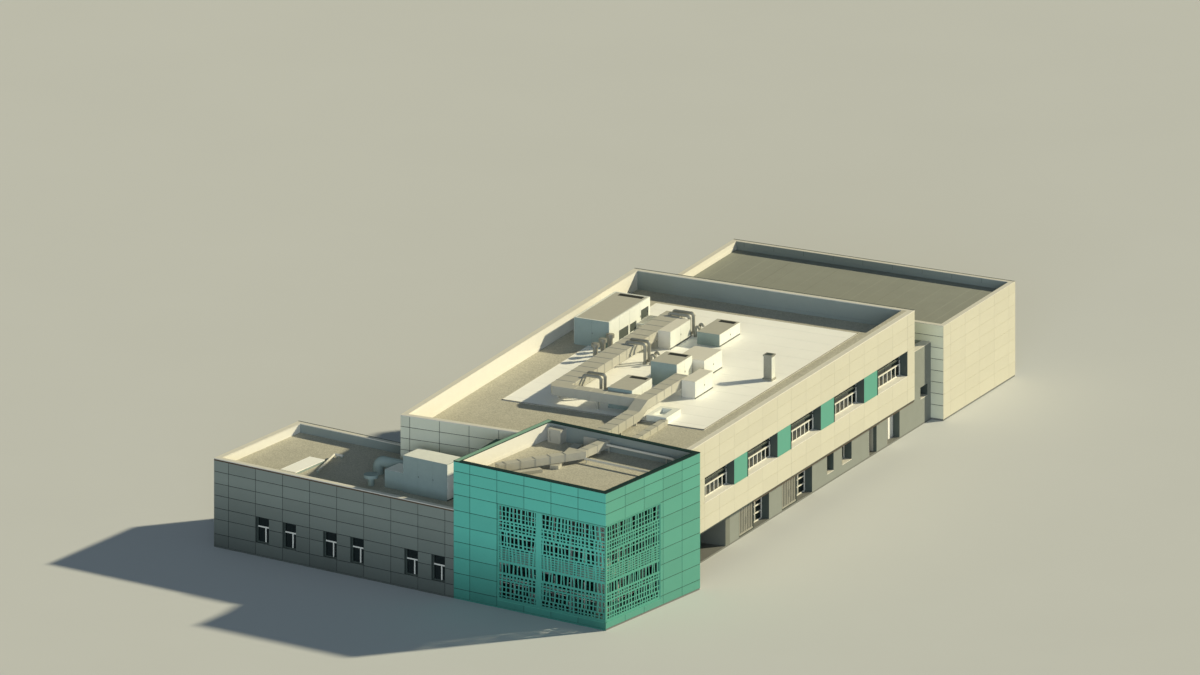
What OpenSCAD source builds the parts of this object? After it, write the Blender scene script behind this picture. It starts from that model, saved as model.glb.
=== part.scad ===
// School building with three blocks and a rear hall, as a one to two scale model.
// All sizes are millimetres of the model, so a real size is twice the value given here.
// The origin is on the ground in the middle of the main block, with +Y along its long side
// and the street facade on the +X side. The corner block and the low wing are turned a little.

/* [Main block] */
// Width of the main block, across the model
main_w = 11100; // [10400:50:11800]
// Length of the main block
main_l = 19000; // [18900:50:19600]
// Height of the parapets of the main block and the corner block
main_h = 5135; // [4950:5:5300]
// Height of the parapet above the roof
main_parapet = 685; // [400:5:700]
// Thickness of the plain outer walls
wall_t = 175; // [120:5:220]
// Thickness of the deep street walls
deep_wall_t = 350; // [310:10:420]
// Thickness of the ground floor slab
ground_t = 60; // [40:5:80]
// Thickness of the upper floor slab
floor_t = 150; // [100:5:180]
// Thickness of the roof slabs
roof_t = 200; // [120:5:240]
// How far the white roof deck rises over the gravel
deck_t = 30; // [15:5:60]

/* [Street facade] */
// Height of the underside of the overhanging upper storey
band_z = 1780; // [1700:10:1860]
// How far the upper storey stands out over the street wall
band_over = 930; // [700:10:1000]
// Number of ribbon windows in the facade
ribbon_count = 5; // [3:1:5]
// Distance from one ribbon window to the next
ribbon_pitch = 3515; // [3460:5:3550]
// Width of a ribbon window
ribbon_w = 2395; // [2200:5:2500]
// Height of the sill of the ribbon windows
ribbon_sill = 2850; // [2700:10:2950]
// Height of the head of the ribbon windows
ribbon_head = 3790; // [3600:10:3850]
// Solid wall between the last ribbon window and the rear corner
ribbon_end = 565; // [450:5:650]
// How far the window frames stand back in the deep walls
reveal = 280; // [150:5:290]
// Thickness of a facade panel
panel_t = 12; // [8:1:16]
// Depth of the pocket that a facade panel sits in
panel_pocket = 6; // [3:1:7]

/* [Street doors] */
// Height of the door and window heads in the street wall
door_head = 1250; // [1150:5:1300]
// Thickness of a door leaf
leaf_t = 24; // [18:1:30]
// Running gap round a door leaf
leaf_gap = 8; // [6:1:10]
// Radius of the pivot pins of the doors
pin_r = 8; // [6:0.5:10]
// Running gap round a pivot pin
pin_gap = 0.3; // [0.1:0.1:0.5]
// Distance of the pivot axis from the heel of the leaf
heel = 30; // [24:1:40]
// Width of the members of the door frames
door_frame_w = 40; // [30:1:60]
// Depth of the members of the door frames
door_frame_d = 70; // [60:1:90]
// Width of one slatted leaf of a garden door
slat_leaf_w = 560; // [480:5:600]

/* [Corner block] */
// Width of the corner block along the wing's front
corner_w = 6615; // [6500:5:6900]
// Depth of the corner block
corner_l = 5845; // [5700:5:6100]
// Angle that the corner block and the wing are turned from the main block
corner_turn = 8.95; // [7:0.05:11]
// Place of the corner block's front corner behind the main block's street side
corner_in = 515; // [400:5:560]
// Distance of the corner block's front corner before the main block's front wall
corner_out = 4993; // [4800:1:5200]
// Height of the corner block's parapet above its roof
corner_parapet = 600; // [400:5:680]
// Thickness of the screen panels
screen_t = 60; // [40:5:90]
// Gap between the screens and the wall with the windows behind them
screen_gap = 420; // [300:10:500]
// Bottom edge of the screens
screen_z0 = 300; // [200:10:400]
// Top edge of the screens
screen_z1 = 3900; // [3700:10:4100]
// Width of the screen on the front
screen_front_w = 4700; // [4300:10:4800]
// Width of the screen on the side
screen_side_w = 3400; // [3200:10:3800]
// Columns of openings in the front screen
screen_front_n = 20; // [16:1:22]
// Columns of openings in the side screen
screen_side_n = 14; // [11:1:16]
// Rows of openings in both screens
screen_rows = 18; // [14:1:20]

/* [Low wing] */
// Length of the wing's front, from the corner block to its free end
wing_w = 10450; // [10300:10:11200]
// Depth of the wing
wing_l = 5250; // [5000:10:5500]
// Height of the wing's parapet
wing_h = 3330; // [3200:10:3500]
// Height of the wing's parapet above its roof
wing_parapet = 350; // [250:10:450]
// Width of one cladding panel of the wing
wing_panel = 1180; // [1150:5:1190]
// Place of the first panel joint beside the corner block
wing_joint = 392; // [300:2:450]
// Sill height of the wing's windows
wing_sill = 500; // [400:5:600]
// Head height of the wing's windows
wing_head = 1475; // [1300:5:1600]

/* [Rear hall and link] */
// Width of the rear hall
hall_w = 11175; // [10800:25:11500]
// Depth of the rear hall
hall_l = 5820; // [5400:20:6200]
// Height of the rear hall's parapet
hall_h = 3550; // [3300:10:3700]
// Height of the hall's parapet above its roof
hall_parapet = 300; // [200:10:400]
// How far the hall's street side stands out from the street wall
hall_out = 490; // [300:10:700]
// Length of the link between the main block and the hall
link_l = 3260; // [3200:10:3600]
// Height of the link
link_h = 2900; // [2750:10:3000]

/* [Roof plant] */
// Size of the long air handling unit across the model
unit_w = 1392; // [1200:4:1600]
// Length of the long air handling unit
unit_l = 3328; // [3000:4:3600]
// Height of the long air handling unit
unit_h = 1013; // [900:1:1100]
// Height of the underside of the raised ducts above the roof deck
duct_lift = 310; // [250:5:400]
// Height of the raised ducts
duct_h = 350; // [250:5:400]
// Width of the left arm of the raised ducts
duct_w = 740; // [650:10:900]
// Width of the front run of the raised ducts
front_duct_w = 435; // [380:5:480]
// Width of the right arm and of the lower duct that goes on to the corner block
right_duct_w = 500; // [400:10:560]
// Radius of the bent pipes
bend_r = 60; // [40:5:65]
// Centre line radius of the bends in those pipes
bend_turn = 80; // [70:5:150]
// Width of the ducts on the corner block
corner_duct_w = 330; // [280:10:440]

/* [Hidden] */
// Smoothness of the round pipes and caps
$fn = 32;
// Small extra length that lets a cut pass clean through a face
over = 5;
// Hairline gap under the turned walls, and where a turned piece meets a straight one
seat = 0.3;
// Copings stand out from both faces of their wall by this much
coping_out = 20;
// Height of the copings
coping_t = 30;
// Glass thickness and the width of slender window members
glass_t = 12;
bar = 45;
// Depth of a window frame, and how far the glass stands behind its back
frame_t = 60;
glass_in = 24;
// How far the transom of each kind of window lies under its head
ribbon_rail = 340;
small_rail = 300;
garden_rail = 420;
porch_rail = 250;
link_rail = 240;
wing_rail = 400;

// Main block derived places
front_y = -main_l / 2;
rear_y = main_l / 2;
left_x = -main_w / 2;
right_x = main_w / 2;
street_x = right_x - band_over;
main_roof_z = main_h - main_parapet;
deck_z = main_roof_z + deck_t;
// Least wall before the first ribbon window, and how many windows fit behind it
ribbon_start = 1500;
ribbons = min(ribbon_count, 1 + floor((main_l - ribbon_start - ribbon_w - ribbon_end) / ribbon_pitch));
ribbon_first = rear_y - ribbon_end - ribbon_w - (ribbons - 1) * ribbon_pitch;

// Corner block derived places
corner_x = right_x - corner_in;
corner_y = front_y - corner_out;
corner_roof_z = main_h - corner_parapet;

// Wing derived places
wing_roof_z = wing_h - wing_parapet;
wing_wall_z = wing_h - coping_t;
wing_end_x = -corner_w - wing_w;

// Hall derived places
link_roof_drop = 100;
hall_y = rear_y + link_l;
hall_right = street_x + hall_out;
hall_roof_z = hall_h - hall_parapet;
hall_way_h = 2200;
link_roof_z = link_h - link_roof_drop;

// Street wall openings are measured from the rear corner: far side first, then near side
porch_back = 13415;
porch_window_back = [16400, 14100];
garden_a_back = [12320, 9885];
garden_b_back = [8830, 6390];
small_a_back = [5175, 4645];
small_b_back = [3955, 3185];
side_door_back = [1765, 1155];
end_door_back = [300, -710];
link_window_back = [-2400, -2970];

// The same openings as [start, end] along Y
function from_rear(back) = [rear_y - back[0], rear_y - back[1]];
porch_end = rear_y - porch_back;
porch_window = from_rear(porch_window_back);
garden_a = from_rear(garden_a_back);
garden_b = from_rear(garden_b_back);
small_a = from_rear(small_a_back);
small_b = from_rear(small_b_back);
side_door = from_rear(side_door_back);
end_door = from_rear(end_door_back);
link_window = from_rear(link_window_back);
small_sill = 375;
link_sill = 1000;
link_rise = 180;
link_head = door_head + link_rise;
porch_depth = 1200;

// The frame of the corner block and the wing: its front corner, turned clockwise
module turned() {
    translate([corner_x, corner_y, 0]) rotate([0, 0, -corner_turn]) children();
}

// Whole mass of the corner block, for cutting what abuts it, grown on every side if asked
module corner_mass(grow = 0) {
    turned() translate([-corner_w - grow, -grow, -over])
        cube([corner_w + 2 * grow, corner_l + 2 * grow, main_h + 20 * over]);
}

// Whole mass of the main block, for cutting the wing that runs against it
module main_mass(grow = 0) {
    translate([left_x - grow, front_y - grow, -over])
        cube([main_w + 2 * grow, main_l + 2 * grow, main_h + 20 * over]);
}

// A box given by its low corner and its high corner
module block(a, b) {
    translate(a) cube(b - a);
}

// Street side window hole or body between two Y values and two heights
module street_block(span, x0, x1, z0, z1) {
    block([x0, span[0], z0], [x1, span[1], z1]);
}

// Footprint of the building
module plan() {
    translate([left_x, front_y]) square([street_x - left_x, main_l]);
    translate([corner_x, corner_y]) rotate(-corner_turn)
        translate([wing_end_x, 0]) square([wing_w + corner_w, wing_l]);
    translate([corner_x, corner_y]) rotate(-corner_turn)
        translate([-corner_w, 0]) square([corner_w, corner_l]);
    translate([-street_x, rear_y - over]) square([2 * street_x, link_l + 2 * over]);
    translate([hall_right - hall_w, hall_y]) square([hall_w, hall_l]);
}

module ground_slab() {
    color("darkgray") linear_extrude(ground_t) plan();
}

module main_front_wall() {
    color("slategray") difference() {
        block([left_x, front_y, ground_t], [right_x - deep_wall_t, front_y + wall_t, main_h]);
        corner_mass();
    }
}

// Windows of the side that faces away from the street, on both storeys
module left_openings(x0, x1) {
    for (i = [0:ribbons - 1]) {
        street_block([ribbon_first + i * ribbon_pitch, ribbon_first + i * ribbon_pitch + ribbon_w],
            x0, x1, ribbon_sill, ribbon_head);
        street_block([ribbon_first + i * ribbon_pitch, ribbon_first + i * ribbon_pitch + ribbon_w],
            x0, x1, wing_sill, wing_head);
    }
}

module main_left_wall() {
    color("slategray") difference() {
        block([left_x, front_y + wall_t, ground_t], [left_x + wall_t, rear_y - wall_t, main_h]);
        left_openings(left_x - over, left_x + wall_t + over);
    }
}

module main_rear_wall() {
    color("slategray") {
        block([left_x, rear_y - wall_t, band_z], [right_x - deep_wall_t, rear_y, main_h]);
        block([left_x, rear_y - wall_t, ground_t], [-street_x, rear_y, band_z]);
    }
}

// The piers and sills of the recessed street wall
module street_ground_wall() {
    color("darkgray") {
        for (s = [[porch_end + deep_wall_t, garden_a[0]], [garden_a[1], garden_b[0]],
            [side_door[1], end_door[0]]])
            street_block(s, street_x - deep_wall_t, street_x, ground_t, band_z);
        difference() {
            street_block([garden_b[1], side_door[0]], street_x - deep_wall_t, street_x, ground_t, band_z);
            for (w = [small_a, small_b])
                street_block(w, street_x - deep_wall_t - over, street_x + over, small_sill, door_head);
        }
    }
}

// The wall over the doorways
module street_lintels() {
    color("darkgray") {
        for (s = [garden_a, garden_b, side_door])
            street_block(s, street_x - deep_wall_t, street_x, door_head, band_z);
        street_block([end_door[0], rear_y], street_x - deep_wall_t, street_x, door_head, band_z);
    }
}

// The wall at the back of the entrance porch, with its large window
module porch_back_wall() {
    color("darkgray") difference() {
        block([street_x - porch_depth - wall_t, front_y, ground_t],
            [street_x - porch_depth, porch_end + deep_wall_t, band_z]);
        corner_mass();
        street_block(porch_window, street_x - porch_depth - wall_t - over, street_x - porch_depth + over,
            -over, door_head);
    }
}

module porch_end_wall() {
    color("darkgray") street_block([porch_end, porch_end + deep_wall_t], street_x - porch_depth, street_x,
        ground_t, band_z);
}

module upper_floors() {
    color("lightgray") {
        difference() {
            block([left_x + wall_t, front_y + wall_t, band_z],
                [right_x - deep_wall_t, rear_y - wall_t, band_z + floor_t]);
            corner_mass();
        }
        turned() block([-corner_w + wall_t, wall_t + screen_gap + wall_t, band_z],
            [-wall_t - screen_gap - wall_t, corner_l - wall_t, band_z + floor_t]);
    }
}

module street_facade() {
    color("cornsilk") difference() {
        block([right_x - deep_wall_t, front_y, band_z], [right_x, rear_y, main_h]);
        for (i = [0:ribbons - 1])
            street_block([ribbon_first + i * ribbon_pitch, ribbon_first + i * ribbon_pitch + ribbon_w],
                right_x - deep_wall_t - over, right_x + over, ribbon_sill, ribbon_head);
        for (i = [0:ribbons - 2])
            street_block([ribbon_first + i * ribbon_pitch + ribbon_w,
                ribbon_first + (i + 1) * ribbon_pitch],
                right_x - panel_pocket, right_x + over, ribbon_sill, ribbon_head);
        corner_mass();
    }
}

module facade_panels() {
    color("mediumaquamarine") for (i = [0:ribbons - 2])
        street_block([ribbon_first + i * ribbon_pitch + ribbon_w,
            ribbon_first + (i + 1) * ribbon_pitch],
            right_x - panel_pocket, right_x - panel_pocket + panel_t, ribbon_sill, ribbon_head);
}

// A window frame in a wall that runs along Y, with one transom that lies drop under the head
module frame_y(span, x, z0, z1, drop) {
    clear = [span[0] + bar, span[1] - bar];
    difference() {
        street_block(span, x, x + frame_t, z0, z1);
        street_block(clear, x - over, x + frame_t + over, z0 + bar, z1 - drop);
        street_block(clear, x - over, x + frame_t + over, z1 - drop + bar, z1 - bar);
    }
}

module glass_y(span, x, z0, z1, drop) {
    clear = [span[0] + bar, span[1] - bar];
    street_block(clear, x + glass_in, x + glass_in + glass_t, z0 + bar, z1 - drop);
    street_block(clear, x + glass_in, x + glass_in + glass_t, z1 - drop + bar, z1 - bar);
}

// Where the window frames stand: in the street side, in the far side, and in the street wall
street_frame_x = right_x - reveal - frame_t;
left_frame_x = left_x + frame_t;
recess_frame_x = street_x - reveal - frame_t;
porch_frame_x = street_x - porch_depth - 2 * frame_t;
function ribbon(i) = [ribbon_first + i * ribbon_pitch, ribbon_first + i * ribbon_pitch + ribbon_w];

module upper_window_frames() {
    color("whitesmoke") for (i = [0:ribbons - 1], x = [street_frame_x, left_frame_x])
        frame_y(ribbon(i), x, ribbon_sill, ribbon_head, ribbon_rail);
}

module upper_glass() {
    color("darkslategray") for (i = [0:ribbons - 1], x = [street_frame_x, left_frame_x])
        glass_y(ribbon(i), x, ribbon_sill, ribbon_head, ribbon_rail);
}

// Glazed part of a garden door unit, beside its two slatted leaves
function leaves_w() = 2 * slat_leaf_w + 2 * door_frame_w + 3 * leaf_gap;
function glazed(span) = [span[0] + leaves_w(), span[1]];

module ground_window_frames() {
    color("whitesmoke") {
        for (w = [small_a, small_b]) frame_y(w, recess_frame_x, small_sill, door_head, small_rail);
        for (s = [garden_a, garden_b])
            frame_y(glazed(s), recess_frame_x, ground_t, door_head, garden_rail);
        frame_y(link_window, recess_frame_x, link_sill, link_head, link_rail);
        frame_y(porch_window, porch_frame_x, ground_t, door_head, porch_rail);
        for (i = [0:ribbons - 1])
            frame_y(ribbon(i), left_frame_x, wing_sill, wing_head, ribbon_rail);
    }
}

module ground_glass() {
    color("darkslategray") {
        for (w = [small_a, small_b]) glass_y(w, recess_frame_x, small_sill, door_head, small_rail);
        for (s = [garden_a, garden_b])
            glass_y(glazed(s), recess_frame_x, ground_t, door_head, garden_rail);
        glass_y(link_window, recess_frame_x, link_sill, link_head, link_rail);
        glass_y(porch_window, porch_frame_x, ground_t, door_head, porch_rail);
        for (i = [0:ribbons - 1])
            glass_y(ribbon(i), left_frame_x, wing_sill, wing_head, ribbon_rail);
    }
}

module main_roof() {
    color("tan") difference() {
        block([left_x + wall_t, front_y + wall_t, main_roof_z - roof_t],
            [right_x - deep_wall_t, rear_y - wall_t, main_roof_z]);
        corner_mass();
    }
}

// White deck in the middle of the main roof, and how far it stays inside each side of the block
deck_in_left = 1510;
deck_in_right = 1560;
deck_in_front = 5120;
deck_in_rear = 1380;
module roof_deck() {
    color("floralwhite") difference() {
        block([left_x + deck_in_left, front_y + deck_in_front, main_roof_z],
            [right_x - deck_in_right, rear_y - deck_in_rear, deck_z]);
        translate([unit_at[0], unit_at[1], main_roof_z - over]) cube([unit_w, unit_l, deck_t + 2 * over]);
    }
}

// Coping on a wall that fills the box from a to b in plan
module coping(a, b, z) {
    block([a[0] - coping_out, a[1] - coping_out, z], [b[0] + coping_out, b[1] + coping_out, z + coping_t]);
}

module main_copings() {
    color("beige") difference() {
        union() {
            coping([left_x, front_y], [right_x, front_y + wall_t], main_h);
            coping([left_x, rear_y - wall_t], [right_x, rear_y], main_h);
            coping([left_x, front_y], [left_x + wall_t, rear_y], main_h);
            coping([right_x - deep_wall_t, front_y], [right_x, rear_y], main_h);
        }
        corner_mass(coping_out + seat);
    }
}

// Foot of the turned walls, a hairline over the ground slab
turned_z = ground_t + seat;

module corner_front_wall() {
    color("mediumturquoise") turned() difference() {
        block([-corner_w, 0, turned_z], [0, wall_t, main_h]);
        block([-screen_front_w, -over, screen_z0], [over, wall_t + over, screen_z1]);
    }
}

module corner_side_wall() {
    color("mediumturquoise") turned() difference() {
        block([-wall_t, wall_t, turned_z], [0, corner_l, main_h]);
        block([-wall_t - over, wall_t - over, screen_z0], [over, screen_side_w, screen_z1]);
    }
}

// Plan of the thin wedge that brings part of the left wall in line with the main block, grown by g
wedge_y = 1668;
wedge_l = 1266;
module wedge_plan(g = 0) {
    polygon([[-corner_w + over, wedge_y - 2 * g], [-corner_w - g, wedge_y - 2 * g],
        [-corner_w - wedge_l * sin(corner_turn) - g, wedge_y + wedge_l * cos(corner_turn) + g],
        [-corner_w + over, wedge_y + wedge_l / cos(corner_turn) + g]]);
}

module corner_left_wall() {
    color("mediumturquoise") turned() {
        block([-corner_w, wall_t, turned_z], [-corner_w + wall_t, corner_l, main_h]);
        translate([0, 0, wing_roof_z + seat]) linear_extrude(main_h - wing_roof_z - seat) wedge_plan();
    }
}

module corner_back_wall() {
    color("mediumturquoise") turned()
        block([-corner_w + wall_t, corner_l - wall_t, turned_z], [-wall_t, corner_l, main_h]);
}

// Width and height of one screen opening, as a share of its cell, from its column and row
function slot_w(i, j) = [0.78, 0.58, 0.84, 0.48, 0.7][(3 * i + 5 * j + i * j) % 5];
function slot_h(i, j) = [0.74, 0.56, 0.8, 0.46][(i + 3 * j + floor(i / 3) * 2) % 4];

// The screen's columns and rows are of uneven width: the share of each, and the sum of the first k
col_share = [0.8, 1.15, 0.7, 1, 1.3, 0.65, 1.2, 0.9];
row_share = [0.8, 1.3, 0.75, 0.9, 0.7, 1.4, 0.8, 1.05];
function first(share, k) = k <= 0 ? 0 : share[(k - 1) % len(share)] + first(share, k - 1);

// A flat screen of w by h with n columns and m rows of openings of uneven size
module screen_face(w, h, n, m) {
    col = w / first(col_share, n);
    row = h / first(row_share, m);
    difference() {
        square([w, h]);
        for (i = [0:n - 1], j = [0:m - 1])
            translate([(first(col_share, i) + first(col_share, i + 1)) / 2 * col,
                (first(row_share, j) + first(row_share, j + 1)) / 2 * row])
                square([slot_w(i, j) * (first(col_share, i + 1) - first(col_share, i)) * col,
                    slot_h(i, j) * (first(row_share, j + 1) - first(row_share, j)) * row], center = true);
    }
}

module front_screen() {
    color("turquoise") turned() translate([-screen_front_w, screen_t, screen_z0]) rotate([90, 0, 0])
        linear_extrude(screen_t)
            screen_face(screen_front_w, screen_z1 - screen_z0, screen_front_n, screen_rows);
}

module side_screen() {
    color("turquoise") turned() translate([-screen_t, screen_t, screen_z0])
        rotate([90, 0, 90]) linear_extrude(screen_t)
            screen_face(screen_side_w - screen_t, screen_z1 - screen_z0, screen_side_n, screen_rows);
}
// Windows of the wall behind the screens: low and high row
low_row = [500, 1600];
high_row = [2280, 3780];
front_bays = [[-4680, -3385], [-2800, -1945], [-1790, -900]];
side_bays = [[900, 1900], [2200, 3300]];
inner_y = wall_t + screen_gap;

module corner_inner_front() {
    color("gainsboro") turned() difference() {
        block([-corner_w + wall_t, inner_y, turned_z], [-inner_y, inner_y + wall_t, corner_roof_z - roof_t]);
        for (b = front_bays, r = [low_row, high_row])
            block([b[0], inner_y - over, r[0]], [b[1], inner_y + wall_t + over, r[1]]);
    }
}

module corner_inner_side() {
    color("gainsboro") turned() difference() {
        block([-inner_y - wall_t, inner_y + wall_t, turned_z],
            [-inner_y, corner_l - wall_t, corner_roof_z - roof_t]);
        for (b = side_bays, r = [low_row, high_row])
            block([-inner_y - wall_t - over, b[0], r[0]], [-inner_y + over, b[1], r[1]]);
    }
}

module corner_glass() {
    color("darkslategray") turned() {
        for (b = front_bays, r = [low_row, high_row])
            block([b[0], inner_y + frame_t, r[0]], [b[1], inner_y + frame_t + glass_t, r[1]]);
        for (b = side_bays, r = [low_row, high_row])
            block([-inner_y - frame_t - glass_t, b[0], r[0]], [-inner_y - frame_t, b[1], r[1]]);
    }
}

module corner_roof() {
    color("tan") turned() block([-corner_w + wall_t, wall_t, corner_roof_z - roof_t],
        [-wall_t, corner_l - wall_t, corner_roof_z]);
}

module corner_copings() {
    color("darkgreen") turned() translate([0, 0, main_h + seat]) {
        difference() {
            block([-corner_w - coping_out, -coping_out, 0], [coping_out, corner_l + coping_out, coping_t]);
            block([-corner_w + wall_t + coping_out, wall_t + coping_out, -over],
                [-wall_t - coping_out, corner_l - wall_t - coping_out, coping_t + over]);
        }
        linear_extrude(coping_t) wedge_plan(coping_out);
    }
}

// Start of each window of the wing, counted in panels from the free end
function wing_joint_x(k) = -corner_w - wing_joint - (8 - k) * wing_panel;
wing_windows = [wing_joint_x(1), wing_joint_x(2), wing_joint_x(4) - wing_panel / 2,
    wing_joint_x(5) - wing_panel / 2, wing_joint_x(7) - wing_panel / 2, wing_joint_x(8) - wing_panel / 2];
wing_window_w = wing_panel / 2;

module wing_front_wall() {
    color("slategray") turned() difference() {
        block([wing_end_x, 0, turned_z], [-corner_w, wall_t, wing_wall_z]);
        for (x = wing_windows)
            block([x, -over, wing_sill], [x + wing_window_w, wall_t + over, wing_head]);
    }
}

module wing_end_wall() {
    color("slategray") turned()
        block([wing_end_x, wall_t, turned_z], [wing_end_x + wall_t, wing_l - wall_t, wing_wall_z]);
}

module wing_rear_wall() {
    color("slategray") difference() {
        turned() block([wing_end_x, wing_l - wall_t, turned_z], [-corner_w, wing_l, wing_wall_z]);
        main_mass();
    }
}

module wing_roof() {
    color("tan") difference() {
        turned() block([wing_end_x + wall_t, wall_t, wing_roof_z - roof_t],
            [-corner_w, wing_l - wall_t, wing_roof_z]);
        main_mass();
    }
}

// A three sided rim round the wing from z0 to z1, from the plan line out to the plan line in
module wing_rim(out, in, z0, z1) {
    difference() {
        turned() difference() {
            block([wing_end_x - out, -out, z0], [-corner_w, wing_l + out, z1]);
            block([wing_end_x + in, in, z0 - over], [-corner_w + over, wing_l - in, z1 + over]);
        }
        main_mass(seat);
    }
}

module wing_copings() {
    color("beige") wing_rim(coping_out, wall_t + coping_out, wing_wall_z, wing_h);
}

// Height and thickness of the brown board under the wing's coping
fascia_h = 55;
fascia_t = 12;
module wing_fascia() {
    color("saddlebrown") wing_rim(fascia_t, 0, wing_wall_z - fascia_h, wing_wall_z);
}

// How far the wing's windows stand behind its front face
wing_frame_y = 100;
wing_frame_t = 50;
wing_glass_y = 120;
module wing_window_frames() {
    low = wing_frame_y - over;
    high = wing_frame_y + wing_frame_t + over;
    color("whitesmoke") turned() for (x = wing_windows) difference() {
        block([x, wing_frame_y, wing_sill], [x + wing_window_w, wing_frame_y + wing_frame_t, wing_head]);
        block([x + bar, low, wing_sill + bar], [x + wing_window_w - bar, high, wing_head - wing_rail]);
        block([x + bar, low, wing_head - wing_rail + bar], [x + wing_window_w - bar, high, wing_head - bar]);
    }
}

module wing_glass() {
    color("darkslategray") turned() for (x = wing_windows) {
        block([x + bar, wing_glass_y, wing_sill + bar],
            [x + wing_window_w - bar, wing_glass_y + glass_t, wing_head - wing_rail]);
        block([x + bar, wing_glass_y, wing_head - wing_rail + bar],
            [x + wing_window_w - bar, wing_glass_y + glass_t, wing_head - bar]);
    }
}

module hall_side_walls() {
    color("cornsilk") {
        block([hall_right - wall_t, hall_y, ground_t], [hall_right, hall_y + hall_l, hall_h]);
        block([hall_right - hall_w, hall_y, ground_t],
            [hall_right - hall_w + wall_t, hall_y + hall_l, hall_h]);
    }
}

module hall_end_walls() {
    color("slategray") {
        difference() {
            block([hall_right - hall_w + wall_t, hall_y, ground_t],
                [hall_right - wall_t, hall_y + wall_t, hall_h]);
            // Wide way from the link into the hall
            block([-street_x + deep_wall_t, hall_y - over, -over],
                [street_x - deep_wall_t, hall_y + wall_t + over, hall_way_h]);
        }
        block([hall_right - hall_w + wall_t, hall_y + hall_l - wall_t, ground_t],
            [hall_right - wall_t, hall_y + hall_l, hall_h]);
    }
}

module hall_roof() {
    color("rosybrown") block([hall_right - hall_w + wall_t, hall_y + wall_t, hall_roof_z - roof_t],
        [hall_right - wall_t, hall_y + hall_l - wall_t, hall_roof_z]);
}

module link_walls() {
    inner = street_x - deep_wall_t - over;
    color("darkgray") {
        difference() {
            block([street_x - deep_wall_t, rear_y, ground_t], [street_x, hall_y, link_h]);
            street_block([rear_y - over, end_door[1]], inner, street_x + over, -over, door_head);
            street_block(link_window, inner, street_x + over, link_sill, link_head);
        }
        block([-street_x, rear_y, ground_t], [-street_x + deep_wall_t, hall_y, link_h]);
    }
}

module link_roof() {
    color("tan") block([-street_x + deep_wall_t, rear_y, link_roof_z - roof_t],
        [street_x - deep_wall_t, hall_y, link_roof_z]);
}

// The plant of the main roof is placed from the middle of the front wall, on the white deck
module on_deck() {
    translate([0, front_y, deck_z]) children();
}

// A closed metal cabinet with a sunk tray on top
module tray_unit(pos, size, rim, tray) {
    translate(pos) difference() {
        cube(size);
        translate([rim, rim, size[2] - tray]) cube([size[0] - 2 * rim, size[1] - 2 * rim, tray + over]);
    }
}

// Long unit: its place, its tray, the openings in its street side and the landing under its hatch
unit_in = [952, 12104];
unit_at = [left_x + unit_in[0], front_y + unit_in[1]];
unit_rim = 60;
unit_tray = 120;
louvre_in = 30;
louvres = [[811, 1542, 130, 450], [1705, 2192, 150, 430]];
hatch_in = [732, 162];
hatch_z = [360, 700];
hatch = [unit_l - hatch_in[0], unit_l - hatch_in[1], hatch_z[0], hatch_z[1]];
landing_w = 456;
landing_l = 1023;
landing_h = 330;
landing_t = 40;
module roof_air_unit() {
    color("lightsteelblue") translate([unit_at[0], unit_at[1], main_roof_z]) {
        difference() {
            tray_unit([0, 0, 0], [unit_w, unit_l, unit_h], unit_rim, unit_tray);
            for (o = concat(louvres, [hatch]))
                block([unit_w - louvre_in, o[0], o[2]], [unit_w + over, o[1], o[3]]);
        }
        translate([unit_w, unit_l - landing_l - landing_t, 0]) {
            translate([0, 0, landing_h - landing_t]) cube([landing_w, landing_l, landing_t]);
            for (y = [0, landing_l - landing_t])
                translate([landing_w - landing_t, y, deck_t])
                    cube([landing_t, landing_t, landing_h - landing_t - deck_t]);
        }
    }
}

// Raised ducts, seen from above: sides of the two arms and of the front run
duct_left = -2400;
duct_right = 1590;
duct_front = 5465;
duct_chamfer = [190, 285];
left_arm_end = 15129;
right_arm_end = 8730;
arm_x = duct_left + duct_w;
run_back = duct_front + front_duct_w;
duct_top = duct_lift + duct_h;
// The lower duct: its top above the deck, and where the slope down to it ends
low_top = 420;
low_start = 4800;
low_end = 1000;
post = 80;
duct_posts = [[duct_left + post, 6100], [duct_left + post, 9500], [duct_left + post, 12600],
    [duct_left + post, 14900], [-500, duct_front + post], [duct_right - 2 * post, 8500]];
low_feet = [2100, 3300, 4500];
// Shallow duct along the roof, from the hood at the front of the deck to the corner block
tray_duct_x = 2300;
tray_duct_w = 250;
tray_duct_h = 160;

module raised_ducts() {
    low_z = low_top - duct_h;
    side_x = duct_right - right_duct_w;
    color("linen") {
        on_deck() {
            translate([0, 0, duct_lift]) linear_extrude(duct_h) polygon([
                [duct_left, duct_front + duct_chamfer[1]], [duct_left + duct_chamfer[0], duct_front],
                [duct_right, duct_front], [duct_right, right_arm_end], [side_x, right_arm_end],
                [side_x, run_back], [arm_x, run_back], [arm_x, left_arm_end], [duct_left, left_arm_end]]);
            for (p = duct_posts) translate([p[0], p[1], 0]) cube([post, post, duct_lift]);
            // Slope from the front run down to the lower duct
            translate([side_x, 0, 0]) rotate([90, 0, 90]) linear_extrude(right_duct_w) polygon([
                [duct_front, duct_lift], [duct_front, duct_top], [low_start, low_top], [low_start, low_z]]);
            for (y = low_feet) block([side_x, y, -deck_t], [duct_right, y + post, low_z]);
        }
        difference() {
            on_deck() {
                block([side_x, low_end, low_z], [duct_right, low_start, low_top]);
                block([tray_duct_x, low_end, -deck_t],
                    [tray_duct_x + tray_duct_w, deck_in_front, tray_duct_h]);
            }
            corner_mass(seat);
        }
    }
}

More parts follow.
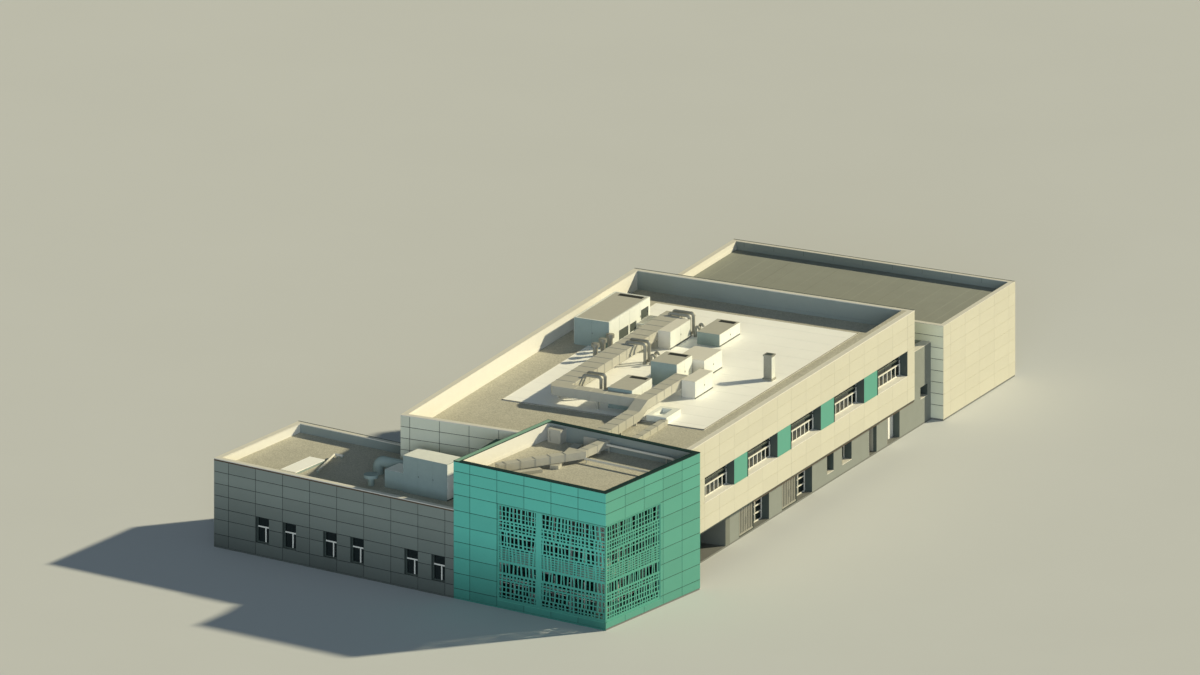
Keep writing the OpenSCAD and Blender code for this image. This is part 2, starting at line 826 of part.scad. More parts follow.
// Smaller cabinets on the deck, each given by its place and its size
beside = 2;
tray_units = [[[-208, run_back + beside, 0], [955, 1623, 770]], [[-40, 9028, 0], [1034, 1250, 870]],
    [[-624, 13976, 0], [895, 1664, 460]]];
plain_units = [[[arm_x, 12937, 0], [480, 1640, duct_top - beside]], [[340, 10384, 0], [1074, 1461, 683]],
    [[1620, 8150, 0], [531, 1461, 645]]];
tray_rim = 50;
tray_depth = 60;
hood = [[1700, deck_in_front, 0], [800, 1170, 220]];
hood_hole = [[150, 120, 60], [550, 990, 230]];

module small_air_units() {
    color("lightsteelblue") on_deck() {
        for (u = tray_units) tray_unit(u[0], u[1], tray_rim, tray_depth);
        for (u = plain_units) translate(u[0]) cube(u[1]);
        translate(hood[0]) difference() {
            cube(hood[1]);
            block(hood_hole[0], hood_hole[1]);
        }
    }
}

// A quarter bend that comes up along +Z at the origin and leaves along +X
module pipe_bend(r, turn) {
    translate([turn, 0, 0]) rotate([90, 0, 180]) rotate_extrude(angle = 90)
        translate([turn, 0]) circle(r = r);
}

// A pipe that stands on the deck, bends over and comes down on the raised duct beside it
module bent_pipe(span) {
    cylinder(r = bend_r, h = duct_top);
    translate([0, 0, duct_top]) pipe_bend(bend_r, bend_turn);
    translate([bend_turn, 0, duct_top + bend_turn]) rotate([0, 90, 0])
        cylinder(r = bend_r, h = span - 2 * bend_turn);
    translate([span, 0, duct_top]) mirror([1, 0, 0]) pipe_bend(bend_r, bend_turn);
}

// A short vent pipe with its mouth turned down
hook_r = 50;
hook_turn = 70;
hook_h = 310;
module hook_vent() {
    cylinder(r = hook_r, h = hook_h);
    translate([hook_turn, 0, hook_h]) rotate([90, 0, 0]) rotate_extrude(angle = 180)
        translate([hook_turn, 0]) circle(r = hook_r);
}

pipe_feet = [[-970, 6895], [-1257, 11046], [-1280, 14700]];
pipe_pair = 330;
pipe_spans = [680, 720, 790];
hook_off = 250;
module bent_ducts() {
    color("lightgray") on_deck() for (i = [0:2], d = [0, pipe_pair]) {
        translate([pipe_feet[i][0], pipe_feet[i][1] + d, 0]) mirror([1, 0, 0]) bent_pipe(pipe_spans[i]);
        translate([pipe_feet[i][0] + hook_off, pipe_feet[i][1] + d, 0]) hook_vent();
    }
}

// Roof vents in a row, and the square chimney
vent_x = -3050;
vent_y = [10690, 11290, 11890];
vent_r = 90;
vent_h = 500;
cap_r = 150;
cap_h = 120;
chimney_at = [3364, 11235, 0];
chimney = [318, 284, 900];
chimney_cap = 50;
module roof_stacks() {
    color("silver") on_deck() {
        for (y = vent_y) translate([vent_x, y, 0]) {
            cylinder(r = vent_r, h = vent_h);
            translate([0, 0, vent_h]) cylinder(r = cap_r, h = cap_h);
        }
        translate(chimney_at) {
            cube(chimney);
            translate([-coping_out, -coping_out, chimney[2]])
                cube([chimney[0] + 2 * coping_out, chimney[1] + 2 * coping_out, chimney_cap]);
        }
    }
}

// A box duct over the corner roof from one plan point to another, w wide, from z0 to z1
module run_duct(a, b, w, z0, z1) {
    d = b - a;
    translate([a[0], a[1], z0]) rotate([0, 0, atan2(d[1], d[0])]) translate([0, -w / 2, 0])
        cube([norm(d), w, z1 - z0]);
}

// A level round pipe at height z from one plan point to another, with a thinner leg near each end
leg_r = 18;
module thin_run(a, b, z) {
    d = b - a;
    translate([a[0], a[1], 0]) rotate([0, 0, atan2(d[1], d[0])]) {
        translate([0, 0, z]) rotate([0, 90, 0]) cylinder(r = thin_r, h = norm(d));
        for (x = [2 * thin_r, norm(d) - 2 * thin_r]) translate([x, 0, 0]) cylinder(r = leg_r, h = z);
    }
}

// Corner roof: where the duct enters, how high it runs, and the ducts and pipes beside it
entry_x = -3950;
entry_y = 4000;
corner_lift = 150;
corner_duct_h = 280;
run_end = [-5490, 1072];
low_run = [[-5014, 5431], [-4242, 2838]];
low_run_w = 330;
low_run_h = 130;
shelf_run = [[-4440, 2320], [-5150, 1130]];
shelf_w = 260;
riser = [[-6250, -370], [-5690, 0]];
riser_h = 510;
riser_slot = [[80, -5, 60], [150, 40, 450]];
thin_r = 42;
thin_turn = 500;
thin_high = [5480, -1110, 300];
thin_low = [4080, -880, 150];
corner_posts = [[-4000, 5200], [-4010, 4350], [-5330, 1450]];

module corner_ducts() {
    wall_y = corner_l - wall_t;
    high_y = thin_high[0];
    entry_edge = entry_x + corner_duct_w / 2 + seat;
    color("linen") turned() translate([0, 0, corner_roof_z]) {
        block([entry_x - corner_duct_w / 2, entry_y, corner_lift],
            [entry_x + corner_duct_w / 2, wall_y, corner_lift + corner_duct_h]);
        run_duct([entry_x + corner_duct_w / 4, entry_y + corner_duct_w / 2], run_end,
            corner_duct_w - 2 * over, corner_lift + over, corner_lift + corner_duct_h - over);
        for (p = corner_posts) translate([p[0], p[1], 0]) cube([post, post, corner_lift + over]);
        run_duct(low_run[0], low_run[1], low_run_w, 0, low_run_h);
        run_duct(shelf_run[0], shelf_run[1], shelf_w, 0, low_run_h);
        difference() {
            block([riser[0][0], wall_y + riser[0][1], 0], [riser[1][0], wall_y, riser_h]);
            translate([riser[0][0], wall_y + riser[0][1], 0]) block(riser_slot[0], riser_slot[1]);
        }
        // Upper thin pipe, with a wide bend at its end, and the lower one
        thin_run([entry_edge, high_y], [thin_high[1], high_y], thin_high[2]);
        translate([thin_high[1], high_y - thin_turn, thin_high[2]]) rotate_extrude(angle = 90)
            translate([thin_turn, 0]) circle(r = thin_r);
        thin_run([entry_edge, thin_low[0]], [thin_low[1], thin_low[0]], thin_low[2]);
    }
}

// Wing roof: cabinets, slab, vent with a wide cap, round duct and thin pipe
wing_units = [[[-9890, 1500, 0], [1920, 1000, 1385]], [[-10760, 1600, 0], [870, 900, 668]],
    [[-14800, 900, 0], [640, 1800, 100]]];
wing_vent_at = [-11280, 1490, 0];
wing_vent_r = 120;
wing_vent_h = 300;
wing_cap_r = 260;
wing_duct_r = 200;
wing_duct_turn = 260;
wing_duct_z = 500;
wing_duct_x = [-9600, -11850];
wing_pipes = [[[-13570, 1427], [-14200, 3357]], [[-14190, 3407], [-13840, 3407]]];
wing_pipe_z = 120;

module wing_plant() {
    back_y = wing_units[0][0][1] + wing_units[0][1][1];
    run = wing_duct_x[0] - wing_duct_x[1] - 2 * wing_duct_turn;
    color("lightsteelblue") turned() translate([0, 0, wing_roof_z]) {
        for (u = wing_units) translate(u[0]) cube(u[1]);
        translate(wing_vent_at) {
            cylinder(r = wing_vent_r, h = wing_vent_h);
            translate([0, 0, wing_vent_h]) cylinder(r = wing_cap_r, h = cap_h);
        }
        // Round duct that leaves the back of the unit, turns along it and goes down into the roof
        translate([wing_duct_x[0] - wing_duct_turn, back_y, wing_duct_z]) rotate_extrude(angle = 90)
            translate([wing_duct_turn, 0]) circle(r = wing_duct_r);
        translate([wing_duct_x[0] - wing_duct_turn - run, back_y + wing_duct_turn, wing_duct_z]) {
            rotate([0, 90, 0]) cylinder(r = wing_duct_r, h = run);
            translate([-wing_duct_turn, 0, -wing_duct_turn]) pipe_bend(wing_duct_r, wing_duct_turn);
            translate([-wing_duct_turn, 0, -wing_duct_z])
                cylinder(r = wing_duct_r, h = wing_duct_z - wing_duct_turn);
        }
        for (r = wing_pipes) thin_run(r[0], r[1], wing_pipe_z);
    }
}

// Threshold height, how deep the pivots reach into threshold and head, and where the leaves stand
threshold_t = 20;
pin_low = 15;
pin_high = 35;
garden_in = 45;
recess_in = 20;

// One door frame round a clear way from y0 to y1, at plane x, with bores for the pivots at the axes
module door_frame(y0, y1, x, head, axes) {
    difference() {
        block([x - door_frame_d / 2, y0, ground_t], [x + door_frame_d / 2, y1, head]);
        block([x - door_frame_d / 2 - over, y0 + door_frame_w, ground_t + threshold_t],
            [x + door_frame_d / 2 + over, y1 - door_frame_w, head - door_frame_w]);
        for (y = axes) translate([x, y, ground_t - over]) cylinder(r = pin_r + pin_gap, h = head);
    }
}

// Clear heights and hinge places shared by the frames and the leaves
leaf_z = ground_t + threshold_t + leaf_gap;
leaf_h = door_head - door_frame_w - leaf_gap - leaf_z;
garden_x = street_x - garden_in;
recess_x = street_x - reveal - recess_in;
function axis_low(y0) = y0 + door_frame_w + leaf_gap + heel;
function axis_high(y1) = y1 - door_frame_w - leaf_gap - heel;
single_w = side_door[1] - side_door[0] - 2 * door_frame_w - 2 * leaf_gap;
end_leaf_w = 500;
end_split = end_door[0] + end_leaf_w + 2 * door_frame_w + 2 * leaf_gap;
side_panel_t = 40;

module door_frames() {
    color("dimgray") {
        for (s = [garden_a, garden_b])
            door_frame(s[0], s[0] + leaves_w(), garden_x, door_head,
                [axis_low(s[0]), axis_high(s[0] + leaves_w())]);
        door_frame(side_door[0], side_door[1], recess_x, door_head, [axis_low(side_door[0])]);
        door_frame(end_door[0], end_split, recess_x, door_head, [axis_low(end_door[0])]);
        block([recess_x - side_panel_t / 2, end_split, ground_t],
            [recess_x + side_panel_t / 2, end_door[1], door_head]);
    }
}

// A leaf that reaches along +Y from its pivot axis at the origin
module leaf_blank(w) {
    translate([-leaf_t / 2, -heel, 0]) cube([leaf_t, w, leaf_h]);
    translate([0, 0, -leaf_gap - pin_low])
        cylinder(r = pin_r, h = leaf_h + 2 * leaf_gap + pin_low + pin_high);
}

// Upright slats on the street face of a garden leaf, inside a plain rim
slats = 8;
slat_t = 8;
slat_gap = 22;
slat_rim = [20, 40];
module slatted_leaf() {
    pitch = (slat_leaf_w - 2 * slat_rim[0]) / slats;
    leaf_blank(slat_leaf_w);
    for (i = [0:slats - 1])
        translate([leaf_t / 2, -heel + slat_rim[0] + i * pitch, slat_rim[1]])
            cube([slat_t, pitch - slat_gap, leaf_h - 2 * slat_rim[1]]);
}

module at_low(y0, x) {
    translate([x, axis_low(y0), leaf_z]) children();
}

module at_high(y1, x) {
    translate([x, axis_high(y1), leaf_z]) mirror([0, 1, 0]) children();
}

module garden_leaf_1() {
    color("gray") at_low(garden_a[0], garden_x) slatted_leaf();
}

module garden_leaf_2() {
    color("gray") at_high(garden_a[0] + leaves_w(), garden_x) slatted_leaf();
}

module garden_leaf_3() {
    color("gray") at_low(garden_b[0], garden_x) slatted_leaf();
}

module garden_leaf_4() {
    color("gray") at_high(garden_b[0] + leaves_w(), garden_x) slatted_leaf();
}

module side_leaf() {
    color("gray") at_low(side_door[0], recess_x) leaf_blank(single_w);
}

module end_leaf() {
    color("white") at_low(end_door[0], recess_x) leaf_blank(end_leaf_w);
}

ground_slab();
main_front_wall();
main_left_wall();
main_rear_wall();
street_ground_wall();
street_lintels();
porch_back_wall();
porch_end_wall();
upper_floors();
street_facade();
facade_panels();
upper_window_frames();
upper_glass();
ground_window_frames();
ground_glass();
main_roof();
roof_deck();
main_copings();
corner_front_wall();
corner_side_wall();
corner_left_wall();
corner_back_wall();
front_screen();
side_screen();
corner_inner_front();
corner_inner_side();
corner_glass();
corner_roof();
corner_copings();
wing_front_wall();
wing_end_wall();
wing_rear_wall();
wing_roof();
wing_copings();
wing_fascia();
wing_window_frames();
wing_glass();
hall_side_walls();
hall_end_walls();
hall_roof();
link_walls();
link_roof();
roof_air_unit();
small_air_units();
raised_ducts();
bent_ducts();
roof_stacks();
corner_ducts();
wing_plant();
door_frames();
garden_leaf_1();
garden_leaf_2();
garden_leaf_3();
garden_leaf_4();
side_leaf();
end_leaf();
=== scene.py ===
"""Finishes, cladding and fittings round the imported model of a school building, laid out as an add-on."""

import math
import random

import bpy
from bpy.props import FloatProperty, FloatVectorProperty, IntProperty, PointerProperty
from bpy.types import Operator, Panel, PropertyGroup
from mathutils import Matrix, Vector


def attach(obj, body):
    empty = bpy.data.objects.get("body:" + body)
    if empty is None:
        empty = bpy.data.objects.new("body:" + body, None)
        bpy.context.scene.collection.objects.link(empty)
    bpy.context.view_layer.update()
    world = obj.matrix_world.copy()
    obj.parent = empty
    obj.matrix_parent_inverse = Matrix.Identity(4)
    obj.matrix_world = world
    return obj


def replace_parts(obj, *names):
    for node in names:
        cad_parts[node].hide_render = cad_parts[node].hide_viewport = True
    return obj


bl_info = {
    "name": "School building dressing",
    "version": (1, 0, 0),
    "blender": (4, 5, 0),
    "location": "3D View > Sidebar > School",
    "description": "Puts cladding, window bars, roof trim and finishes on the packed school building",
    "category": "Object",
}

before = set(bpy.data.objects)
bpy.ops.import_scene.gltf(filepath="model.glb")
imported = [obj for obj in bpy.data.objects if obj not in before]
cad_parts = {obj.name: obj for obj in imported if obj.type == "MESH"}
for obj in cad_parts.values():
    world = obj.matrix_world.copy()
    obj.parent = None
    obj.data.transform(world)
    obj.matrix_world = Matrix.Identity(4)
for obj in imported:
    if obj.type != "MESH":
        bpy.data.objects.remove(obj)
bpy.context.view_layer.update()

MM = 0.001
# Thin parts are sunk this far into what carries them or lap it by as much, so that no gap shows
SUNK = 1 * MM
BODY = "building"
# The photograph is a parallel view: its width in pixels, its scale on the model and where it looks
PHOTO_WIDTH = 1200
PHOTO_PIXELS_PER_METRE = 28.0
VIEW_AZIMUTH = math.radians(26.1)
VIEW_ELEVATION = math.radians(17.85)
VIEW_CENTRE = Vector((-6.765, 9.135, 2.5))
VIEW_DISTANCE = 60.0


# Reading the frame

def corners_in(node, base):
    """Lowest and highest corner of a CAD node, seen in the frame base."""
    back = base.inverted()
    points = [back @ v.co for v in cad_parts[node].data.vertices]
    return [Vector([pick(p[i] for p in points) for i in range(3)]) for pick in (min, max)]


def solids_in(node, base=Matrix()):
    """Lowest and highest corners of every separate solid of a CAD node, seen in the frame base."""
    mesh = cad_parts[node].data
    back = base.inverted()
    leader = {}

    def first(key):
        while leader[key] != key:
            leader[key] = leader[leader[key]]
            key = leader[key]
        return key

    keys = [tuple(round(c, 5) for c in v.co) for v in mesh.vertices]
    for key in keys:
        leader.setdefault(key, key)
    for edge in mesh.edges:
        a, b = (first(keys[i]) for i in edge.vertices)
        leader[a] = b
    groups = {}
    for key in leader:
        groups.setdefault(first(key), []).append(back @ Vector(key))
    boxes = [tuple(Vector([pick(p[i] for p in group) for i in range(3)]) for pick in (min, max))
             for group in groups.values()]
    return sorted(boxes, key=lambda b: tuple(round(c, 3) for c in b[0]))


def turned_frame():
    """Frame of the corner block and the wing: origin at the block's front corner, X along its front."""
    points = [v.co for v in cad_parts["corner_front_wall"].data.vertices]
    near = min(points, key=lambda p: (round(p.y, 4), p.z))
    far = min(points, key=lambda p: (round(p.x, 4), p.z))
    turn = math.atan2(near.y - far.y, near.x - far.x)
    return Matrix.Translation((near.x, near.y, 0)) @ Matrix.Rotation(turn, 4, "Z")


def wall_frame(base, x, y, quarters):
    """Frame of a wall as seen from outside: X along it, Y into it, Z up, turned by quarter turns."""
    return base @ Matrix.Translation((x, y, 0)) @ Matrix.Rotation(quarters * math.pi / 2, 4, "Z")


def meeting(start, heading, axis, value):
    """Where a line of the turned frame reaches a value of one world coordinate, in the world and turned."""
    start = TURNED @ Vector(start)
    along = TURNED.to_3x3() @ Vector(heading)
    point = start + along * ((value - start[axis]) / along[axis])
    return point, TURNED.inverted() @ point


WORLD = Matrix()
TURNED = turned_frame()
LEFTWARDS, INWARDS = (-1, 0, 0), (0, 1, 0)
# How far the copings stand out from their walls
COPING_OVER = 20 * MM
CORNER_LOW, CORNER_HIGH = corners_in("corner_front_wall", TURNED)
CORNER_BACK = corners_in("corner_back_wall", TURNED)[1].y
WING_LOW, WING_HIGH = corners_in("wing_front_wall", TURNED)
WING_BACK = corners_in("wing_copings", TURNED)[1].y - COPING_OVER
WING_ROOF = corners_in("wing_roof", WORLD)[1].z
MAIN_LOW = corners_in("main_left_wall", WORLD)[0]
FACADE_LOW, FACADE_HIGH = corners_in("street_facade", WORLD)
STREET_LOW, STREET_HIGH = corners_in("street_ground_wall", WORLD)
REAR_HIGH = corners_in("main_rear_wall", WORLD)[1]
FRONT_Y = corners_in("main_front_wall", WORLD)[0].y
HALL_LOW, HALL_HIGH = corners_in("hall_side_walls", WORLD)
LINK_LOW, LINK_HIGH = corners_in("link_walls", WORLD)
DECK_LOW, DECK_HIGH = corners_in("roof_deck", WORLD)
MAIN_ROOF = corners_in("main_roof", WORLD)[1].z
CORNER_ROOF = corners_in("corner_roof", WORLD)[1].z
HALL_ROOF = corners_in("hall_roof", WORLD)[1].z
GROUND = corners_in("ground_slab", WORLD)[1].z
# Where the corner block's left side reaches the main block's front, where its back reaches the street
# facade, and where the wing's rear side reaches the main block's left side
FRONT_MEET, FRONT_MEET_TURNED = meeting((CORNER_LOW.x, 0, 0), INWARDS, 1, FRONT_Y)
STREET_MEET, STREET_MEET_TURNED = meeting((0, CORNER_BACK, 0), LEFTWARDS, 0, FACADE_HIGH.x)
WING_MEET, WING_MEET_TURNED = meeting((0, WING_BACK, 0), LEFTWARDS, 0, MAIN_LOW.x)
# Rows of the plain sides: the first level joint under a wall's top, and the height of a row
ROW_TOP = 0.4
ROW_HEIGHT = 0.43
# First upright joint of the hall's ends
HALL_END_JOINT = 0.49


# What a user would change

def linear(code):
    """Linear colour of an sRGB hex value such as 63b9a3."""
    parts = [int(code[i:i + 2], 16) / 255 for i in (0, 2, 4)]
    return [p / 12.92 if p <= 0.04045 else ((p + 0.055) / 1.055) ** 2.4 for p in parts]


def colour(name, description, code):
    """A colour property whose default is an sRGB hex value."""
    return FloatVectorProperty(name=name, description=description, subtype="COLOR", size=3,
                               min=0.0, max=1.0, default=linear(code))


def length(name, description, value, low, high):
    """A length property in metres."""
    return FloatProperty(name=name, description=description, default=value, min=low, max=high,
                         unit="LENGTH", precision=4)


class SchoolColours(PropertyGroup):
    """Colours of the finishes."""

    turquoise: colour("Turquoise", "Cassettes and screens of the corner block", "4f9786")
    # Painted shade: the shaded front's cassettes and screen get this turquoise of their own, apart from the
    # sunlit sides' colour
    turquoise_shade: colour("Shaded turquoise", "Cassettes and screen of the corner block's front", "60c4b1")
    slate: colour("Slate grey", "Cassettes of the wing", "828b84")
    pale_grey: colour("Pale grey", "Cassettes of the main block's plain sides", "d4d6c2")
    cream: colour("Cream", "Large panels of the street facade and the hall", "c1beae")
    render_grey: colour("Render grey", "Street wall under the overhang", "808580")
    # Painted shade: the porch walls take a darker render than the street wall, for the deep shade of the
    # porch
    render_porch_shade: colour("Dark render", "Walls of the porch beside the corner block", "6b6f68")
    render_light: colour("Light render", "Walls behind the screens", "9fa4a0")
    parapet: colour("Parapet", "Inner faces of the parapets", "e3e1d9")
    gravel: colour("Gravel", "Ballast on the flat roofs", "b5b2a4")
    felt: colour("Felt", "Mineral felt on the hall", "8a8d85")
    deck: colour("Deck", "White membrane in the middle of the roof", "fafaf6")
    coping: colour("Coping", "Light folded copings", "d7d4ca")
    coping_green: colour("Green coping", "Copings of the corner block", "102d28")
    # Painted shade: a darker grey for the inner faces of the far parapets, which face away from the sun; the
    # hall's scored end walls take it too
    parapet_shade: colour("Grey flashing", "Inner faces of the parapets on the far sides", "899390")
    coping_faded: colour("Faded coping", "Cover of the corner block's left coping", "83aa97")
    board: colour("Board", "Brown board under the wing's coping", "564536")
    concrete: colour("Concrete", "Ground slab and floors", "6b6d6a")
    frame_white: colour("White frames", "Window frames and bars", "e1dfd5")
    frame_dark: colour("Dark frames", "Door frames and louvres", "454e4a")
    slats: colour("Slats", "Garden doors", "98978d")
    door_white: colour("White door", "Door beside the link", "e6e6e2")
    glass: colour("Glass", "Tint of the panes", "16201f")
    cabinet: colour("Cabinets", "Sheet of the air handling units", "e1e4de")
    # Painted shade: darker sheets for the sides of the units that face away from the sun, apart from the
    # sunlit sheets
    cabinet_shade: colour("Shaded cabinets", "Unit sheets on the sides away from the street", "8e9f9c")
    duct: colour("Ducts", "Coated duct sheet", "b5b3a8")
    zinc: colour("Zinc", "Galvanised pipes and stacks", "9f9e94")
    joint: colour("Joints", "Backing seen in the cladding joints", "141b1b")
    facade_joint: colour("Facade joints", "Backing seen in the cream facade's joints", "b6b3a3")


class SchoolSizes(PropertyGroup):
    """Sizes of the cladding, bars and trim, on the half size model."""

    proud: length("Cladding depth", "How far cassettes stand out from the wall", 0.012, 0.002, 0.018)
    gap: length("Joint", "Open joint between cassettes", 0.02, 0.004, 0.03)
    fine_gap: length("Facade joint", "Joint between the large cream panels", 0.01, 0.002, 0.02)
    module: length("Cassette width", "Distance from one upright joint to the next", 1.18, 0.6, 2.4)
    bar: length("Window bar", "Width of a window bar", 0.03, 0.01, 0.06)
    strap_step: length("Coping length", "Length of one piece of coping", 1.5, 0.5, 3.0)
    flange_step: length("Duct length", "Length of one piece of duct between flanges", 0.6, 0.3, 1.5)
    lap_step: length("Sheet width", "Width of one strip of roofing between laps", 0.95, 0.4, 2.0)
    blades: IntProperty(name="Louvre blades", description="Blades in one louvre", default=7, min=3, max=20)


# Making materials

def add_node(tree, kind, inputs=None, **settings):
    """Adds a node, sets its properties, and links or sets the inputs that are named."""
    made = tree.nodes.new(kind)
    for name, value in settings.items():
        setattr(made, name, value)
    for name, value in (inputs or {}).items():
        if isinstance(value, bpy.types.NodeSocket):
            tree.links.new(value, made.inputs[name])
        else:
            made.inputs[name].default_value = value
    return made


def new_finish(name, roughness, metallic=0.0, ior=1.5):
    """A material with one shader. Returns its tree, the shader and the object coordinates."""
    material = bpy.data.materials.new(name)
    material.use_nodes = True
    tree = material.node_tree
    shader = tree.nodes["Principled BSDF"]
    shader.inputs["Roughness"].default_value = roughness
    shader.inputs["Metallic"].default_value = metallic
    if not metallic:
        shader.inputs["IOR"].default_value = ior
    place = add_node(tree, "ShaderNodeTexCoord").outputs["Object"]
    return tree, shader, place


def per_metre(size_mm):
    """Texture scale at which one feature of a pattern is size_mm across on the model."""
    return 1000.0 / size_mm


def varied(tree, shader, colour_value, swings):
    """Base colour that gets lighter and darker: each swing is a value, its middle and its share."""
    total = 1.0 - sum(middle * share for _, middle, share in swings)
    for value, _, share in swings:
        total = add_node(tree, "ShaderNodeMath", {0: value, 1: share, 2: total},
                         operation="MULTIPLY_ADD").outputs[0]
    scaled = add_node(tree, "ShaderNodeVectorMath", {0: tuple(colour_value), "Scale": total},
                      operation="SCALE")
    tree.links.new(scaled.outputs[0], shader.inputs["Base Color"])


def raised(tree, shader, height, strength, depth_mm):
    """Relief of depth_mm from a height pattern."""
    bump = add_node(tree, "ShaderNodeBump", {"Height": height, "Strength": strength,
                                            "Distance": depth_mm * MM})
    tree.links.new(bump.outputs["Normal"], shader.inputs["Normal"])


def powder_coated_steel(name, colour_value, panel_swing=0.06, foot_shade_swing=0.08):
    """Folded steel cassettes, powder coated: satin, each tray a little lighter or darker than the next,
    faintly wavy over its width, and darker towards the ground, which is painted shade."""
    tree, shader, place = new_finish(name, roughness=0.42)
    tone = add_node(tree, "ShaderNodeAttribute", attribute_name="tone").outputs["Fac"]
    waves = add_node(tree, "ShaderNodeTexNoise", {"Vector": place, "Scale": per_metre(500), "Detail": 2.0})
    dust = add_node(tree, "ShaderNodeTexNoise", {"Vector": place, "Scale": per_metre(90), "Detail": 6.0})
    height = add_node(tree, "ShaderNodeSeparateXYZ", {0: place}).outputs["Z"]
    # Painted shade: the colour falls off towards the ground over the lowest 2.6 m
    foot = add_node(tree, "ShaderNodeMapRange", {"Value": height, "From Min": 0.0, "From Max": 2.6})
    varied(tree, shader, colour_value, [(tone, 0.0, panel_swing), (waves.outputs["Fac"], 0.5, 0.05),
                                        (dust.outputs["Fac"], 0.5, 0.05), (foot.outputs[0], 1.0, foot_shade_swing)])
    raised(tree, shader, waves.outputs["Fac"], 0.3, 4)


def steel_with_painted_shade(name, colour_value):
    """The same cassettes with far stronger painted shade towards the ground, for the shaded corner front and
    the wing.
    """
    powder_coated_steel(name, colour_value, panel_swing=0.05, foot_shade_swing=0.66)


def fibre_cement_panel(name, colour_value):
    """Large fibre cement panels, through coloured: matt, with a faint cloudy grain."""
    tree, shader, place = new_finish(name, roughness=0.62)
    tone = add_node(tree, "ShaderNodeAttribute", attribute_name="tone").outputs["Fac"]
    clouds = add_node(tree, "ShaderNodeTexNoise", {"Vector": place, "Scale": per_metre(260), "Detail": 5.0})
    grain = add_node(tree, "ShaderNodeTexNoise", {"Vector": place, "Scale": per_metre(18), "Detail": 3.0})
    varied(tree, shader, colour_value, [(tone, 0.0, 0.025), (clouds.outputs["Fac"], 0.5, 0.06),
                                        (grain.outputs["Fac"], 0.5, 0.06)])
    raised(tree, shader, grain.outputs["Fac"], 0.2, 1)


def scored_panel(name, colour_value):
    """Fibre cement panels whose joints are only shallow grooves, in the rows of the cladding."""
    tree, shader, place = new_finish(name, roughness=0.62)
    sizes = bpy.context.scene.school_sizes
    parts = add_node(tree, "ShaderNodeSeparateXYZ", {0: place})
    level = add_node(tree, "ShaderNodeMath", {0: parts.outputs["Z"], 1: HALL_HIGH.z - ROW_TOP},
                     operation="SUBTRACT")
    across = add_node(tree, "ShaderNodeMath", {0: parts.outputs["X"], 1: HALL_LOW.x + HALL_END_JOINT},
                      operation="SUBTRACT")
    flat = add_node(tree, "ShaderNodeCombineXYZ", {"X": across.outputs[0], "Y": level.outputs[0]})
    joints = add_node(tree, "ShaderNodeTexBrick",
                      {"Vector": flat.outputs[0], "Scale": 1.0, "Mortar Size": 6 * MM, "Mortar Smooth": 0.1,
                       "Brick Width": sizes.module, "Row Height": ROW_HEIGHT}, offset=0.0)
    clouds = add_node(tree, "ShaderNodeTexNoise", {"Vector": place, "Scale": per_metre(260), "Detail": 5.0})
    varied(tree, shader, colour_value, [(joints.outputs["Fac"], 0.0, -0.6),
                                        (clouds.outputs["Fac"], 0.5, 0.08)])
    raised(tree, shader, joints.outputs["Fac"], -0.8, 4)


def floated_render(name, colour_value):
    """Mineral render floated by hand: matt and sandy. Its 2 mm grains are drawn 14 mm across so
    that they show at all."""
    tree, shader, place = new_finish(name, roughness=0.85)
    clouds = add_node(tree, "ShaderNodeTexNoise", {"Vector": place, "Scale": per_metre(420), "Detail": 4.0})
    sand = add_node(tree, "ShaderNodeTexNoise", {"Vector": place, "Scale": per_metre(14), "Detail": 2.0})
    varied(tree, shader, colour_value, [(clouds.outputs["Fac"], 0.5, 0.14), (sand.outputs["Fac"], 0.5, 0.1)])
    raised(tree, shader, sand.outputs["Fac"], 0.5, 2)


def cast_concrete(name, colour_value):
    """Concrete cast in place: dull, clouded where it dried unevenly, with small pores."""
    tree, shader, place = new_finish(name, roughness=0.8)
    clouds = add_node(tree, "ShaderNodeTexNoise", {"Vector": place, "Scale": per_metre(700), "Detail": 6.0})
    pores = add_node(tree, "ShaderNodeTexVoronoi", {"Vector": place, "Scale": per_metre(35)})
    varied(tree, shader, colour_value, [(clouds.outputs["Fac"], 0.5, 0.22),
                                        (pores.outputs["Distance"], 0.4, 0.1)])
    raised(tree, shader, pores.outputs["Distance"], 0.3, 2)


def ballast_gravel(name, colour_value):
    """River gravel laid loose: every stone has its own tone. Stones of 32 mm are 16 mm on the
    model and are drawn 38 mm across so that they show."""
    tree, shader, place = new_finish(name, roughness=0.9)
    stones = add_node(tree, "ShaderNodeTexVoronoi", {"Vector": place, "Scale": per_metre(38)})
    shade = add_node(tree, "ShaderNodeSeparateColor", {0: stones.outputs["Color"]}).outputs[0]
    drifts = add_node(tree, "ShaderNodeTexNoise", {"Vector": place, "Scale": per_metre(900), "Detail": 4.0})
    varied(tree, shader, colour_value, [(shade, 0.5, 0.3), (stones.outputs["Distance"], 0.4, -0.35),
                                        (drifts.outputs["Fac"], 0.5, 0.2)])
    raised(tree, shader, stones.outputs["Distance"], -0.6, 12)


def mineral_felt(name, colour_value):
    """Bitumen felt with slate granules: rough and speckled. The 1 mm granules are drawn at 12 mm."""
    tree, shader, place = new_finish(name, roughness=0.95)
    granules = add_node(tree, "ShaderNodeTexNoise", {"Vector": place, "Scale": per_metre(12), "Detail": 2.0})
    strips = add_node(tree, "ShaderNodeAttribute", attribute_name="tone").outputs["Fac"]
    drifts = add_node(tree, "ShaderNodeTexNoise", {"Vector": place, "Scale": per_metre(800), "Detail": 5.0})
    varied(tree, shader, colour_value, [(granules.outputs["Fac"], 0.5, 0.3), (strips, 0.0, 0.08),
                                        (drifts.outputs["Fac"], 0.5, 0.16)])
    raised(tree, shader, granules.outputs["Fac"], 0.4, 2)


